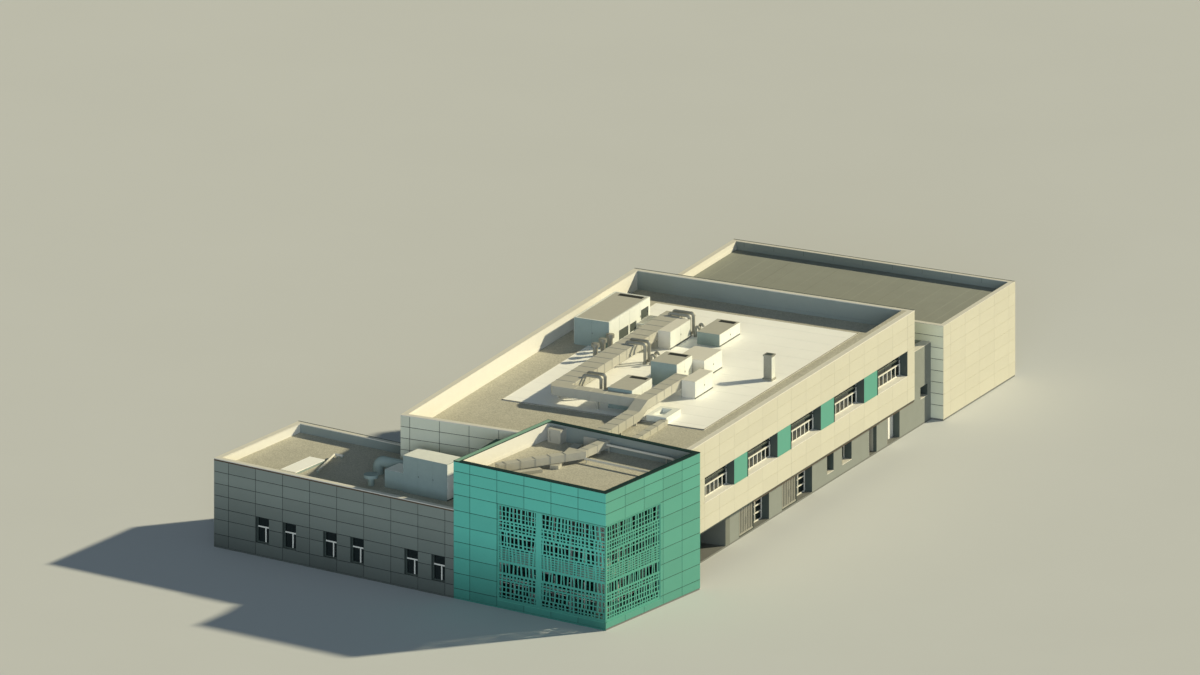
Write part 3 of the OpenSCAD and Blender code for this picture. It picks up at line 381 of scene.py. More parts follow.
def welded_membrane(name, colour_value):
    """PVC roofing sheet, calendered and welded: smooth, bright and faintly soiled by standing water."""
    tree, shader, place = new_finish(name, roughness=0.5)
    tone = add_node(tree, "ShaderNodeAttribute", attribute_name="tone").outputs["Fac"]
    pools = add_node(tree, "ShaderNodeTexNoise", {"Vector": place, "Scale": per_metre(1300), "Detail": 5.0,
                                                 "Roughness": 0.6})
    specks = add_node(tree, "ShaderNodeTexNoise", {"Vector": place, "Scale": per_metre(40), "Detail": 3.0})
    varied(tree, shader, colour_value, [(tone, 0.0, 0.04), (pools.outputs["Fac"], 0.45, 0.12),
                                        (specks.outputs["Fac"], 0.5, 0.04)])
    raised(tree, shader, specks.outputs["Fac"], 0.15, 1)


def coated_aluminium(name, colour_value):
    """Aluminium profiles and folded sheet, stove coated: smooth, with a soft sheen and fine dust."""
    tree, shader, place = new_finish(name, roughness=0.5)
    shader.inputs["Specular IOR Level"].default_value = 0.25
    dust = add_node(tree, "ShaderNodeTexNoise", {"Vector": place, "Scale": per_metre(60), "Detail": 5.0})
    runs = add_node(tree, "ShaderNodeTexNoise", {"Vector": place, "Scale": per_metre(350), "Detail": 2.0})
    varied(tree, shader, colour_value, [(dust.outputs["Fac"], 0.5, 0.07), (runs.outputs["Fac"], 0.5, 0.06)])
    raised(tree, shader, runs.outputs["Fac"], 0.15, 1)


def float_glass(name, colour_value):
    """Float glass in front of a dark room: near black, glossy, with the faint roll of toughened panes."""
    tree, shader, place = new_finish(name, roughness=0.06, ior=1.52)
    roll = add_node(tree, "ShaderNodeTexNoise", {"Vector": place, "Scale": per_metre(320), "Detail": 1.0})
    film = add_node(tree, "ShaderNodeTexNoise", {"Vector": place, "Scale": per_metre(150), "Detail": 4.0})
    varied(tree, shader, colour_value, [(film.outputs["Fac"], 0.5, 0.5)])
    raised(tree, shader, roll.outputs["Fac"], 0.08, 1)
    shader.inputs["Transmission Weight"].default_value = 0.25


def galvanised_steel(name, colour_value):
    """Hot dipped zinc on spiral wound steel: dull metal with a crystal spangle 20 mm across."""
    tree, shader, place = new_finish(name, roughness=0.55, metallic=0.4)
    spangle = add_node(tree, "ShaderNodeTexVoronoi", {"Vector": place, "Scale": per_metre(20)})
    shade = add_node(tree, "ShaderNodeSeparateColor", {0: spangle.outputs["Color"]}).outputs[0]
    bloom = add_node(tree, "ShaderNodeTexNoise", {"Vector": place, "Scale": per_metre(240), "Detail": 4.0})
    varied(tree, shader, colour_value, [(shade, 0.5, 0.14), (bloom.outputs["Fac"], 0.5, 0.14)])
    raised(tree, shader, shade, 0.1, 1)


def duct_sheet(name, colour_value):
    """Coated duct sheet with cross broken sides: matt, slightly dented, dusty on top."""
    tree, shader, place = new_finish(name, roughness=0.55, metallic=0.0)
    dents = add_node(tree, "ShaderNodeTexNoise", {"Vector": place, "Scale": per_metre(210), "Detail": 2.0})
    dust = add_node(tree, "ShaderNodeTexNoise", {"Vector": place, "Scale": per_metre(50), "Detail": 5.0})
    varied(tree, shader, colour_value, [(dents.outputs["Fac"], 0.5, 0.12), (dust.outputs["Fac"], 0.5, 0.1)])
    raised(tree, shader, dents.outputs["Fac"], 0.4, 4)


def rubber_backing(name, colour_value):
    """Foil and rubber strips behind the open joints: matt and dark."""
    tree, shader, place = new_finish(name, roughness=0.9)
    dust = add_node(tree, "ShaderNodeTexNoise", {"Vector": place, "Scale": per_metre(70), "Detail": 4.0})
    varied(tree, shader, colour_value, [(dust.outputs["Fac"], 0.5, 0.3)])


# Each finish: how it is made, which colour it takes, and the record's slot that it belongs to. None
# has the name of a slot, because the CAD file brings materials with those names.
FINISHES = {
    "cassette_turquoise": (powder_coated_steel, "turquoise", "turquoise_panel"),
    # Painted shade: the corner front and its screen take the shaded turquoise, and darken strongly towards
    # the ground
    "cassette_shaded": (steel_with_painted_shade, "turquoise_shade", "turquoise_panel"),
    "screen_shaded": (steel_with_painted_shade, "turquoise_shade", "turquoise_screen"),
    "screen_turquoise": (coated_aluminium, "turquoise", "turquoise_screen"),
    # Painted shade: the wing's cassettes darken strongly towards the ground
    "cassette_slate": (steel_with_painted_shade, "slate", "grey_panel"),
    "cassette_pale": (powder_coated_steel, "pale_grey", "grey_panel"),
    "panel_cream": (fibre_cement_panel, "cream", "cream_panel"),
    "render_street": (floated_render, "render_grey", "plaster_grey"),
    # Painted shade of the deep porch
    "render_porch": (floated_render, "render_porch_shade", "plaster_grey"),
    "render_inner": (floated_render, "render_light", "plaster_light"),
    "parapet_lining": (coated_aluminium, "parapet", "cream_panel"),
    # Painted shade: the far parapets' inner faces
    "flashing_grey": (coated_aluminium, "parapet_shade", "cream_panel"),
    "scored_panel": (scored_panel, "parapet_shade", "cream_panel"),
    "roof_gravel": (ballast_gravel, "gravel", "gravel"),
    "felt": (mineral_felt, "felt", "brown_roof"),
    "membrane": (welded_membrane, "deck", "white_deck"),
    "coping_light": (coated_aluminium, "coping", "coping_cream"),
    "green_coping": (coated_aluminium, "coping_green", "coping_green"),
    "coping_faded": (coated_aluminium, "coping_faded", "coping_green"),
    "board_brown": (coated_aluminium, "board", "brown_board"),
    "raw_concrete": (cast_concrete, "concrete", "concrete"),
    "frame_white": (coated_aluminium, "frame_white", "white_frame"),
    "frame_dark": (coated_aluminium, "frame_dark", "dark_frame"),
    "door_slats": (coated_aluminium, "slats", "slatted_door"),
    "door_white": (coated_aluminium, "door_white", "white_door"),
    "glass": (float_glass, "glass", "window_glass"),
    "cabinet_sheet": (duct_sheet, "cabinet", "plant_metal"),
    # Painted shade: the units' shaded sides
    "cabinet_shaded": (duct_sheet, "cabinet_shade", "plant_metal"),
    "duct_sheet": (duct_sheet, "duct", "duct_metal"),
    "zinc": (galvanised_steel, "zinc", "galvanised"),
    "joint_backing": (rubber_backing, "joint", "dark_frame"),
    "facade_backing": (rubber_backing, "facade_joint", "cream_panel"),
}

# The finish of every CAD node
NODE_FINISH = {
    "raw_concrete": ["ground_slab", "upper_floors"],
    "parapet_lining": ["main_front_wall", "main_left_wall", "street_facade", "corner_front_wall",
                       "corner_side_wall", "corner_left_wall", "wing_front_wall", "wing_end_wall",
                       "hall_side_walls"],
    # Painted shade on the far walls, whose inner faces show above the roofs
    "flashing_grey": ["main_rear_wall", "corner_back_wall", "wing_rear_wall"],
    "scored_panel": ["hall_end_walls"],
    "render_street": ["street_ground_wall", "street_lintels", "link_walls"],
    # Painted shade: the porch walls
    "render_porch": ["porch_back_wall", "porch_end_wall"],
    "cassette_turquoise": ["facade_panels"],
    "frame_white": ["upper_window_frames", "ground_window_frames"],
    "glass": ["upper_glass", "ground_glass", "corner_glass", "wing_glass"],
    "roof_gravel": ["main_roof", "corner_roof", "wing_roof", "link_roof"],
    "felt": ["hall_roof"],
    "membrane": ["roof_deck"],
    "coping_light": ["main_copings", "wing_copings"],
    "green_coping": ["corner_copings"],
    "board_brown": ["wing_fascia"],
    "screen_shaded": ["front_screen"],
    "screen_turquoise": ["side_screen"],
    "render_inner": ["corner_inner_front", "corner_inner_side"],
    "cabinet_sheet": ["roof_air_unit", "small_air_units"],
    # Painted shade: the wing's units are dark all over, and bright sheets are laid on their tops and street
    # sides
    "cabinet_shaded": ["wing_plant"],
    "duct_sheet": ["raised_ducts", "corner_ducts"],
    "zinc": ["bent_ducts", "roof_stacks"],
    "frame_dark": ["door_frames", "wing_window_frames"],
    "door_slats": ["garden_leaf_1", "garden_leaf_2", "garden_leaf_3", "garden_leaf_4", "side_leaf"],
    "door_white": ["end_leaf"],
}


# Making pieces

class Piece:
    """One mesh, gathered from closed solids that each have a finish and a tone of their own."""

    def __init__(self, name, place=WORLD):
        self.name = name
        self.place = place
        self.points = []
        self.faces = []
        self.finishes = []
        self.face_finish = []
        self.face_tone = []

    def solid(self, points, faces, finish, tone=0.0, place=None):
        """Adds a closed solid from its points and faces."""
        start = len(self.points)
        place = self.place if place is None else place
        self.points += [place @ Vector(p) for p in points]
        self.faces += [[start + i for i in face] for face in faces]
        if finish not in self.finishes:
            self.finishes.append(finish)
        self.face_finish += [self.finishes.index(finish)] * len(faces)
        self.face_tone += [tone] * len(faces)

    def box(self, low, high, finish, tone=0.0, place=None):
        """Adds a box from its lowest to its highest corner."""
        self.extrude([(low[1], low[2]), (high[1], low[2]), (high[1], high[2]), (low[1], high[2])],
                     low[0], high[0], finish, tone, place)

    def loft(self, first, last, finish, tone=0.0, place=None):
        """Adds a solid between two outlines that have as many points."""
        n = len(first)
        faces = [list(range(n))[::-1], list(range(n, 2 * n))]
        faces += [[i, (i + 1) % n, n + (i + 1) % n, n + i] for i in range(n)]
        self.solid(first + last, faces, finish, tone, place)

    def extrude(self, outline, x0, x1, finish, tone=0.0, place=None):
        """Adds an outline in Y and Z, drawn out along X."""
        first, last = ([(x, y, z) for y, z in outline] for x in (x0, x1))
        self.loft(first, last, finish, tone, place)

    def tube(self, path, radius, finish, sides=16, place=None):
        """Adds a round bar along a path of points, with flat ends."""
        path = [Vector(p) for p in path]
        points = []
        for i, p in enumerate(path):
            along = (path[min(i + 1, len(path) - 1)] - path[max(i - 1, 0)]).normalized()
            across = along.orthogonal() if i == 0 else across - along * across.dot(along)
            across.normalize()
            up = along.cross(across)
            points += [p + radius * (math.cos(a) * across + math.sin(a) * up)
                       for a in (2 * math.pi * k / sides for k in range(sides))]
        faces = [list(range(sides))[::-1], list(range(len(points) - sides, len(points)))]
        for ring in range(0, len(points) - sides, sides):
            faces += [[ring + k, ring + (k + 1) % sides, ring + sides + (k + 1) % sides, ring + sides + k]
                      for k in range(sides)]
        self.solid(points, faces, finish, place=place)

    def build(self, body=BODY, edge=0.0):
        """Makes the mesh object, which rides on a body. edge rounds its corners by that much."""
        mesh = bpy.data.meshes.new(self.name)
        mesh.from_pydata(self.points, [], self.faces)
        for finish in self.finishes:
            mesh.materials.append(bpy.data.materials[finish])
        mesh.polygons.foreach_set("material_index", self.face_finish)
        mesh.attributes.new("tone", "FLOAT", "FACE").data.foreach_set("value", self.face_tone)
        mesh.update()
        obj = bpy.data.objects.new(self.name, mesh)
        bpy.context.scene.collection.objects.link(obj)
        if edge:
            rounding = obj.modifiers.new("Rounded edges", "BEVEL")
            rounding.width = edge
            rounding.segments = 2
        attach(obj, body)
        return obj


def cuts(low, high, joints, least=0.15):
    """Stretches of a wall from low to high, none shorter than least, between the joints inside it."""
    marks = [low] + sorted(j for j in joints if low + least < j < high - least) + [high]
    return list(zip(marks[:-1], marks[1:]))


def repeated(first, step, low, high):
    """Every place first + k * step that lies between low and high."""
    k = math.ceil((low - first) / step)
    places = []
    while first + k * step <= high:
        places.append(first + k * step)
        k += 1
    return places


def around(rectangle, holes):
    """Splits a rectangle (x0, z0, x1, z1) into the parts that no hole covers."""
    parts = [rectangle]
    for hx0, hz0, hx1, hz1 in holes:
        kept = []
        for x0, z0, x1, z1 in parts:
            if hx0 >= x1 or hx1 <= x0 or hz0 >= z1 or hz1 <= z0:
                kept.append((x0, z0, x1, z1))
                continue
            low, high = max(z0, hz0), min(z1, hz1)
            kept += [(x0, z0, x1, hz0)] if hz0 > z0 else []
            kept += [(x0, hz1, x1, z1)] if hz1 < z1 else []
            kept += [(x0, low, hx0, high)] if hx0 > x0 else []
            kept += [(hx1, low, x1, high)] if hx1 < x1 else []
        parts = kept
    return parts


def clad(piece, wall, area, joints, rows, finish, holes=(), proud=None, gap=None,
         backing="joint_backing", seed=1):
    """Covers an area (x0, z0, x1, z1) of a wall with trays between upright joints and rows."""
    sizes = bpy.context.scene.school_sizes
    proud = sizes.proud if proud is None else proud
    gap = sizes.gap if gap is None else gap
    dice = random.Random(seed)
    x0, z0, x1, z1 = area
    for a, b, c, d in around(area, holes):
        piece.box((a, -0.2 * proud, b), (c, SUNK, d), backing, place=wall)
    for left, right in cuts(x0, x1, joints):
        for low, high in cuts(z0, z1, rows):
            tone = dice.uniform(-1, 1)
            tray = (left + (left > x0) * gap / 2, low + gap / 2,
                    right - (right < x1) * gap / 2, high - (high < z1) * gap / 2)
            for a, b, c, d in around(tray, holes):
                piece.box((a, -proud, b), (c, -0.1 * proud, d), finish, tone, place=wall)


def louvre(piece, wall, area, depth):
    """Dark sloping blades in a recess of a wall, inside a thin rim."""
    x0, z0, x1, z1 = area
    blades = bpy.context.scene.school_sizes.blades
    step = (z1 - z0) / blades
    for k in range(blades):
        z = z0 + k * step
        blade = [(-4 * MM, z), (depth, z + 0.6 * step), (depth, z + 0.75 * step), (-4 * MM, z + 0.2 * step)]
        piece.extrude(blade, x0, x1, "frame_dark", place=wall)
    rim = 14 * MM
    for a, b, c, d in around((x0 - rim, z0 - rim, x1 + rim, z1 + rim), [area]):
        piece.box((a, -6 * MM, b), (c, 2 * MM, d), "frame_dark", place=wall)


def tray_top(piece, low, high, rim, depth):
    """Roof sheet over the sunk tray of a unit, with a dark strip at its far end."""
    dark_start, dark_end = low.x + 0.2 * (high.x - low.x), high.x - rim - 0.1
    dark_near, dark_far = high.y - rim - 0.3, high.y - rim - 0.06
    piece.box((low.x + rim, low.y + rim, high.z - 12 * MM), (high.x - rim, high.y - rim, high.z - depth),
              "duct_sheet")
    piece.box((dark_start, dark_near, high.z - 10 * MM), (dark_end, dark_far, high.z - depth + 4 * MM),
              "joint_backing")


def cover_sheet(piece, low, high, finish, place=None):
    """Thin sheet on the top of a unit, just inside its edges."""
    inset = 2 * MM
    piece.box((low.x + inset, low.y + inset, high.z - SUNK),
              (high.x - inset, high.y - inset, high.z + 3 * MM), finish, place=place)


def cabinet(piece, base, low, high, column, seed, holes=None, shade="cabinet_shaded"):
    """Door sheets over a dark base rail on a metal cabinet, with plain sheets of painted shade on its two
    shaded sides.
    """
    holes = holes or {}
    foot, head, thick, corner, clear = 45 * MM, 20 * MM, 6 * MM, 10 * MM, 60 * MM
    middle = (low.z + high.z) / 2
    starts = [(low.x, low.y, high.x - low.x), (high.x, low.y, high.y - low.y),
              (high.x, high.y, high.x - low.x), (low.x, high.y, high.y - low.y)]
    for quarter, (x, y, width) in enumerate(starts):
        wall = wall_frame(base, x, y, quarter)
        doors = max(1, round(width / column))
        joints = [width * k / doors for k in range(1, doors)]
        openings = holes.get(quarter, ())
        # Painted shade: the front and the left side take the shade sheets, down to the base
        if quarter in (0, 3):
            rail, lintel, gap, finish = 1 * MM, 1 * MM, 3 * MM, shade
        else:
            rail, lintel, gap, finish = foot, head, 10 * MM, "cabinet_sheet"
        area = (corner, low.z + rail, width - corner, high.z - lintel)
        clad(piece, wall, area, joints, [], finish, openings, proud=thick, gap=gap, seed=seed + quarter)
        piece.box((0, -3 * MM, low.z), (width, SUNK, low.z + foot), "frame_dark", place=wall)
        # Handles, where no opening is near
        for joint in joints:
            if all(joint > right + clear or joint < left - clear for left, _, right, _ in openings):
                piece.box((joint + 25 * MM, -18 * MM, middle - 30 * MM),
                          (joint + 40 * MM, -thick, middle + 30 * MM), "frame_dark", place=wall)


def flanges(piece, base, low, high, axis, step):
    """Rings round a box duct at the ends of its lengths, along one axis."""
    proud, width = 11 * MM, 22 * MM
    for at in repeated(low[axis] + step / 2, step, low[axis], high[axis]):
        a = [c - proud for c in low]
        b = [c + proud for c in high]
        a[axis], b[axis] = at - width / 2, at + width / 2
        piece.box(a, b, "duct_sheet", place=base)


def grid_bars(piece, low, high, uprights, rails, finish="frame_white", width=None, place=None):
    """Bars across a window opening in X and Z, at shares of its width and height."""
    half = (width or bpy.context.scene.school_sizes.bar) / 2
    for share in uprights:
        x = low[0] + share * (high[0] - low[0])
        piece.box((x - half, low[1], low[2]), (x + half, high[1], high[2]), finish, place=place)
    for share in rails:
        z = low[2] + share * (high[2] - low[2])
        piece.box((low[0], low[1], z - half), (high[0], high[1], z + half), finish, place=place)


def shares(count):
    """Places of count bars that split a width evenly."""
    return [(k + 1) / (count + 1) for k in range(count)]


def lined_opening(piece, area, depth, sill, jamb, finish):
    """Folded sill that slopes out, and dark linings of the jambs and the head of an opening in a wall.

    The sill is how far it stands out and its outer edge's and inner edge's foot and top, in millimetres
    over the opening's foot.
    """
    x0, z0, x1, z1 = area
    out, outer_foot, outer_top, inner_foot, inner_top = (size * MM for size in sill)
    piece.extrude([(-out, z0 + outer_foot), (depth, z0 + inner_foot), (depth, z0 + inner_top),
                   (-out, z0 + outer_top)], x0, x1, finish)
    for x in (x0, x1 - jamb):
        piece.box((x, -11 * MM, z0 + inner_foot), (x + jamb, depth, z1), "frame_dark")
    piece.box((x0, -11 * MM, z1 - jamb), (x1, depth, z1), "frame_dark")


def ground_windows():
    """Corners of the ground floor's frames: on the left side, in the porch, in the garden doors' bays, and
    the small ones of the street wall."""
    sill, porch_depth = 0.1, 0.7
    groups = {"left": [], "porch": [], "garden": [], "small": []}
    for low, high in solids_in("ground_window_frames"):
        if high.x < 0:
            kind = "left"
        elif low.z > GROUND + sill:
            kind = "small"
        else:
            kind = "porch" if high.x < STREET_HIGH.x - porch_depth else "garden"
        groups[kind].append((low, high))
    return groups


# Operators, one for each group of pieces

class SCHOOL_OT_finishes(Operator):
    """Make every finish and put it on the CAD nodes"""

    bl_idname = "school.finishes"
    bl_label = "Finishes"

    def execute(self, context):
        for name, (make, colour_name, _) in FINISHES.items():
            make(name, getattr(context.scene.school_colours, colour_name))
        for finish, nodes in NODE_FINISH.items():
            for node in nodes:
                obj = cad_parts[node]
                if not obj.material_slots:
                    obj.data.materials.append(None)
                for slot in obj.material_slots:
                    slot.material = bpy.data.materials[finish]
        return {"FINISHED"}


class SCHOOL_OT_corner_cladding(Operator):
    """Turquoise cassettes on the four sides of the corner block"""

    bl_idname = "school.corner_cladding"
    bl_label = "Corner block cladding"

    # Level joints, measured up the front: tall trays to the screen's head, low ones above
    rows = [0.39, 0.97, 1.56, 2.145, 2.73, 3.32, 3.91, 4.35, 4.78]
    # First upright joint, from the block's street corner and from the main block's front
    street_joint = 1.2
    main_joint = 0.6
    # The screens wrap the corner, so their openings are cut this far past it
    past_corner = 1.0

    def execute(self, context):
        sizes = context.scene.school_sizes
        over, module = sizes.proud, sizes.module
        left, top, back = CORNER_LOW.x, CORNER_HIGH.z, CORNER_BACK
        front_low, front_high = corners_in("front_screen", TURNED)
        side_low, side_high = corners_in("side_screen", TURNED)
        wedge_low, wedge_high = corners_in("corner_left_wall", TURNED)
        clear, reach = -STREET_MEET_TURNED.x, FRONT_MEET_TURNED.y
        rear = wall_frame(TURNED, 0, back, 2)
        sides = (
            # Front, drawn past both corners so that its trays meet those of the sides, in the turquoise of
            # painted shade
            (TURNED, (left - over, GROUND, over, top), repeated(-self.street_joint, module, left, 0),
             "cassette_shaded", [(front_low.x, front_low.z, self.past_corner, front_high.z)]),
            # Side towards the street
            (wall_frame(TURNED, 0, 0, 1), (0, GROUND, back + over, top),
             repeated(self.street_joint, module, 0, back), "cassette_turquoise",
             [(-self.past_corner, side_low.z, side_high.y, side_high.z)]),
            # Back, where it stands clear of the main block, and over the main roof
            (rear, (0, FACADE_LOW.z, clear, top), [], "cassette_turquoise", []),
            (rear, (clear, MAIN_ROOF, -left, top), repeated(self.street_joint, module, 0, -left),
             "cassette_turquoise", []),
            # Left side over the wing's roof, except where its wall is a wedge
            (wall_frame(TURNED, left, reach, 3), (0, WING_ROOF, reach, top),
             repeated(self.main_joint, module, 0, reach), "cassette_turquoise",
             [(reach - wedge_high.y, WING_ROOF, reach - wedge_low.y - 10 * MM, top)]),
        )
        piece = Piece("corner_cladding", TURNED)
        piece.box((left - over, -over, 0), (over, SUNK, GROUND), "cassette_shaded")
        for seed, (wall, area, joints, finish, holes) in enumerate(sides, 11):
            clad(piece, wall, area, joints, self.rows, finish, holes, seed=seed)
        piece.build()
        return {"FINISHED"}


class SCHOOL_OT_wing_cladding(Operator):
    """Slate grey cassettes on the low wing, with its windows left free"""

    bl_idname = "school.wing_cladding"
    bl_label = "Wing cladding"

    # Level joints, measured up the wing's front: the sill and the head of its windows are two of them
    rows = [0.5, 1.06, 1.475, 1.95, 2.395, 2.84]
    # First upright joint of the front, at the last window's jamb, and of the end, from its rear corner
    front_joint = -7.007
    end_joint = 0.5
    # Height of the brown board between the trays and the coping
    board = 55 * MM

    def execute(self, context):
        sizes = context.scene.school_sizes
        over, module = sizes.proud, sizes.module
        end, near, top = WING_LOW.x, WING_HIGH.x, WING_HIGH.z - self.board
        clear = -WING_MEET_TURNED.x
        windows = [(a.x, a.z, b.x, b.z) for a, b in solids_in("wing_window_frames", TURNED)]
        sides = (
            (TURNED, (end - over, GROUND, near, top), repeated(self.front_joint, module, end, near), windows),
            (wall_frame(TURNED, end, WING_BACK, 3), (-over, GROUND, WING_BACK, top),
             repeated(self.end_joint, module, 0, WING_BACK), []),
            # Rear side, as far as the main block's corner
            (wall_frame(TURNED, 0, WING_BACK, 2), (clear, GROUND, -end, top),
             repeated(-self.front_joint, module, clear, -end), []),
        )
        piece = Piece("wing_cladding", TURNED)
        piece.box((end - over, -over, 0), (near, SUNK, GROUND), "cassette_slate")
        for seed, (wall, area, joints, holes) in enumerate(sides, 21):
            clad(piece, wall, area, joints, self.rows, "cassette_slate", holes, seed=seed)
        piece.build()
        return {"FINISHED"}


class SCHOOL_OT_main_cladding(Operator):
    """Pale grey cassettes on the main block's plain sides, and cream ones on the hall"""

    bl_idname = "school.main_cladding"
    bl_label = "Main block and hall cladding"

    # First upright joint of each side of the main block, and of the hall's long sides
    front_joint = 0.35
    left_joint = 0.565
    rear_joint = 0.4
    hall_joint = 0.58

    def rows(self, top):
        """Heights of the level joints, counted down from a wall's top."""
        return [top - ROW_TOP - k * ROW_HEIGHT for k in range(math.ceil(top / ROW_HEIGHT))]

    def clad_main(self, sizes):
        """Front over the wing, left side and rear side of the main block."""
        over, module = sizes.proud, sizes.module
        left, right, rear, top = MAIN_LOW.x, FACADE_HIGH.x, REAR_HIGH.y, REAR_HIGH.z
        meet, deep, wide = FRONT_MEET.x - left, rear - FRONT_Y, right - left
        windows = [(rear - b.y, a.z, rear - a.y, b.z)
                   for node in ("upper_window_frames", "ground_window_frames")
                   for a, b in solids_in(node) if b.x < 0]
        # Left free: what the wing and the link cover, and the plain foot beside the link
        wing = (rear - WING_MEET.y, 0, deep, WING_HIGH.z)
        link = (right - LINK_HIGH.x, 0, right - LINK_LOW.x, LINK_HIGH.z)
        foot = (0, 0, right - LINK_LOW.x, FACADE_LOW.z)
        sides = (
            (wall_frame(WORLD, left, FRONT_Y, 0), (-over, WING_ROOF, meet, top), self.front_joint, []),
            (wall_frame(WORLD, left, rear, 3), (-over, GROUND, deep, top), self.left_joint, windows + [wing]),
            (wall_frame(WORLD, right, rear, 2), (0, GROUND, wide, top), self.rear_joint, [link, foot]),
        )
        piece = Piece("main_cladding")
        for seed, (wall, area, first, holes) in enumerate(sides, 31):
            clad(piece, wall, area, repeated(first, module, 0, area[2]), self.rows(top), "cassette_pale",
                 holes, seed=seed)
        piece.build()

    def clad_hall(self, sizes):
        """Long sides of the hall, and its end over the link."""
        over, module = sizes.proud, sizes.module
        low, high, top = HALL_LOW, HALL_HIGH, HALL_HIGH.z
        deep, wide = high.y - low.y, high.x - low.x
        piece = Piece("hall_cladding")
        for seed, wall, x0, x1 in ((34, wall_frame(WORLD, high.x, low.y, 1), -over, deep),
                                   (35, wall_frame(WORLD, low.x, high.y, 3), 0, deep + over)):
            clad(piece, wall, (x0, GROUND, x1, top), repeated(self.hall_joint, module, 0, deep),
                 self.rows(top), "panel_cream", gap=sizes.fine_gap, backing="facade_backing", seed=seed)
        link = (LINK_LOW.x - low.x, 0, LINK_HIGH.x - low.x, LINK_HIGH.z)
        clad(piece, wall_frame(WORLD, low.x, low.y, 0), (0, GROUND, wide, top),
             repeated(HALL_END_JOINT, module, 0, wide), self.rows(top), "cassette_pale", [link], seed=36)
        piece.build()

    def execute(self, context):
        self.clad_main(context.scene.school_sizes)
        self.clad_hall(context.scene.school_sizes)
        return {"FINISHED"}


class SCHOOL_OT_street_facade(Operator):
    """Cream panels, turquoise trays and sills of the overhanging street facade"""

    bl_idname = "school.street_facade"
    bl_label = "Street facade"

    # Dark drip edge along the foot: how far it hangs below the facade, and its top and the panels' foot above
    drip_foot = 4 * MM
    drip_top = 26 * MM
    panel_foot = 30 * MM
    # Painted shadow: a dark green strip on the far edge of each turquoise tray
    strip = 60 * MM

    def openings(self, node):
        """Areas that the street side's solids of a node take on the facade."""
        return [(a.y - FRONT_Y, a.z, b.y - FRONT_Y, b.z) for a, b in solids_in(node) if a.x > 0]

    def execute(self, context):
        sizes = context.scene.school_sizes
        wall = wall_frame(WORLD, FACADE_HIGH.x, FRONT_Y, 1)
        windows, trays = self.openings("upper_window_frames"), self.openings("facade_panels")
        start, end = STREET_MEET.y - FRONT_Y, FACADE_HIGH.y - FRONT_Y
        low, top = FACADE_LOW.z, FACADE_HIGH.z
        sill, head = windows[0][1], windows[0][3]
        third = (top - head) / 3
        joints = sorted({round(x, 4) for x0, _, x1, _ in windows for x in (x0, (x0 + x1) / 2, x1)})
        piece = Piece("facade_cladding", wall)
        clad(piece, wall, (start, low + self.panel_foot, end + sizes.proud, top), joints,
             [(low + sill) / 2, sill, head, head + third, top - third], "panel_cream", windows + trays,
             gap=sizes.fine_gap, backing="facade_backing", seed=41)
        for tray in trays:
            x0, z0, x1, z1 = tray
            clad(piece, wall, tray, [], [], "cassette_turquoise", seed=42)
            # Painted shadow line along the tray's far edge
            piece.box((x1 - self.strip, -14 * MM, z0), (x1 + 6 * MM, 0, z1), "green_coping")
        piece.box((start, -14 * MM, low - self.drip_foot), (end, 20 * MM, low + self.drip_top), "frame_dark")
        piece.build()

        sills = Piece("facade_sills", wall)
        depth = FACADE_HIGH.x - max(b.x for _, b in solids_in("upper_window_frames"))
        for window in windows:
            lined_opening(sills, window, depth, (18, -12, 2, 4, 16), 8 * MM, "parapet_lining")
        sills.build()
        return {"FINISHED"}


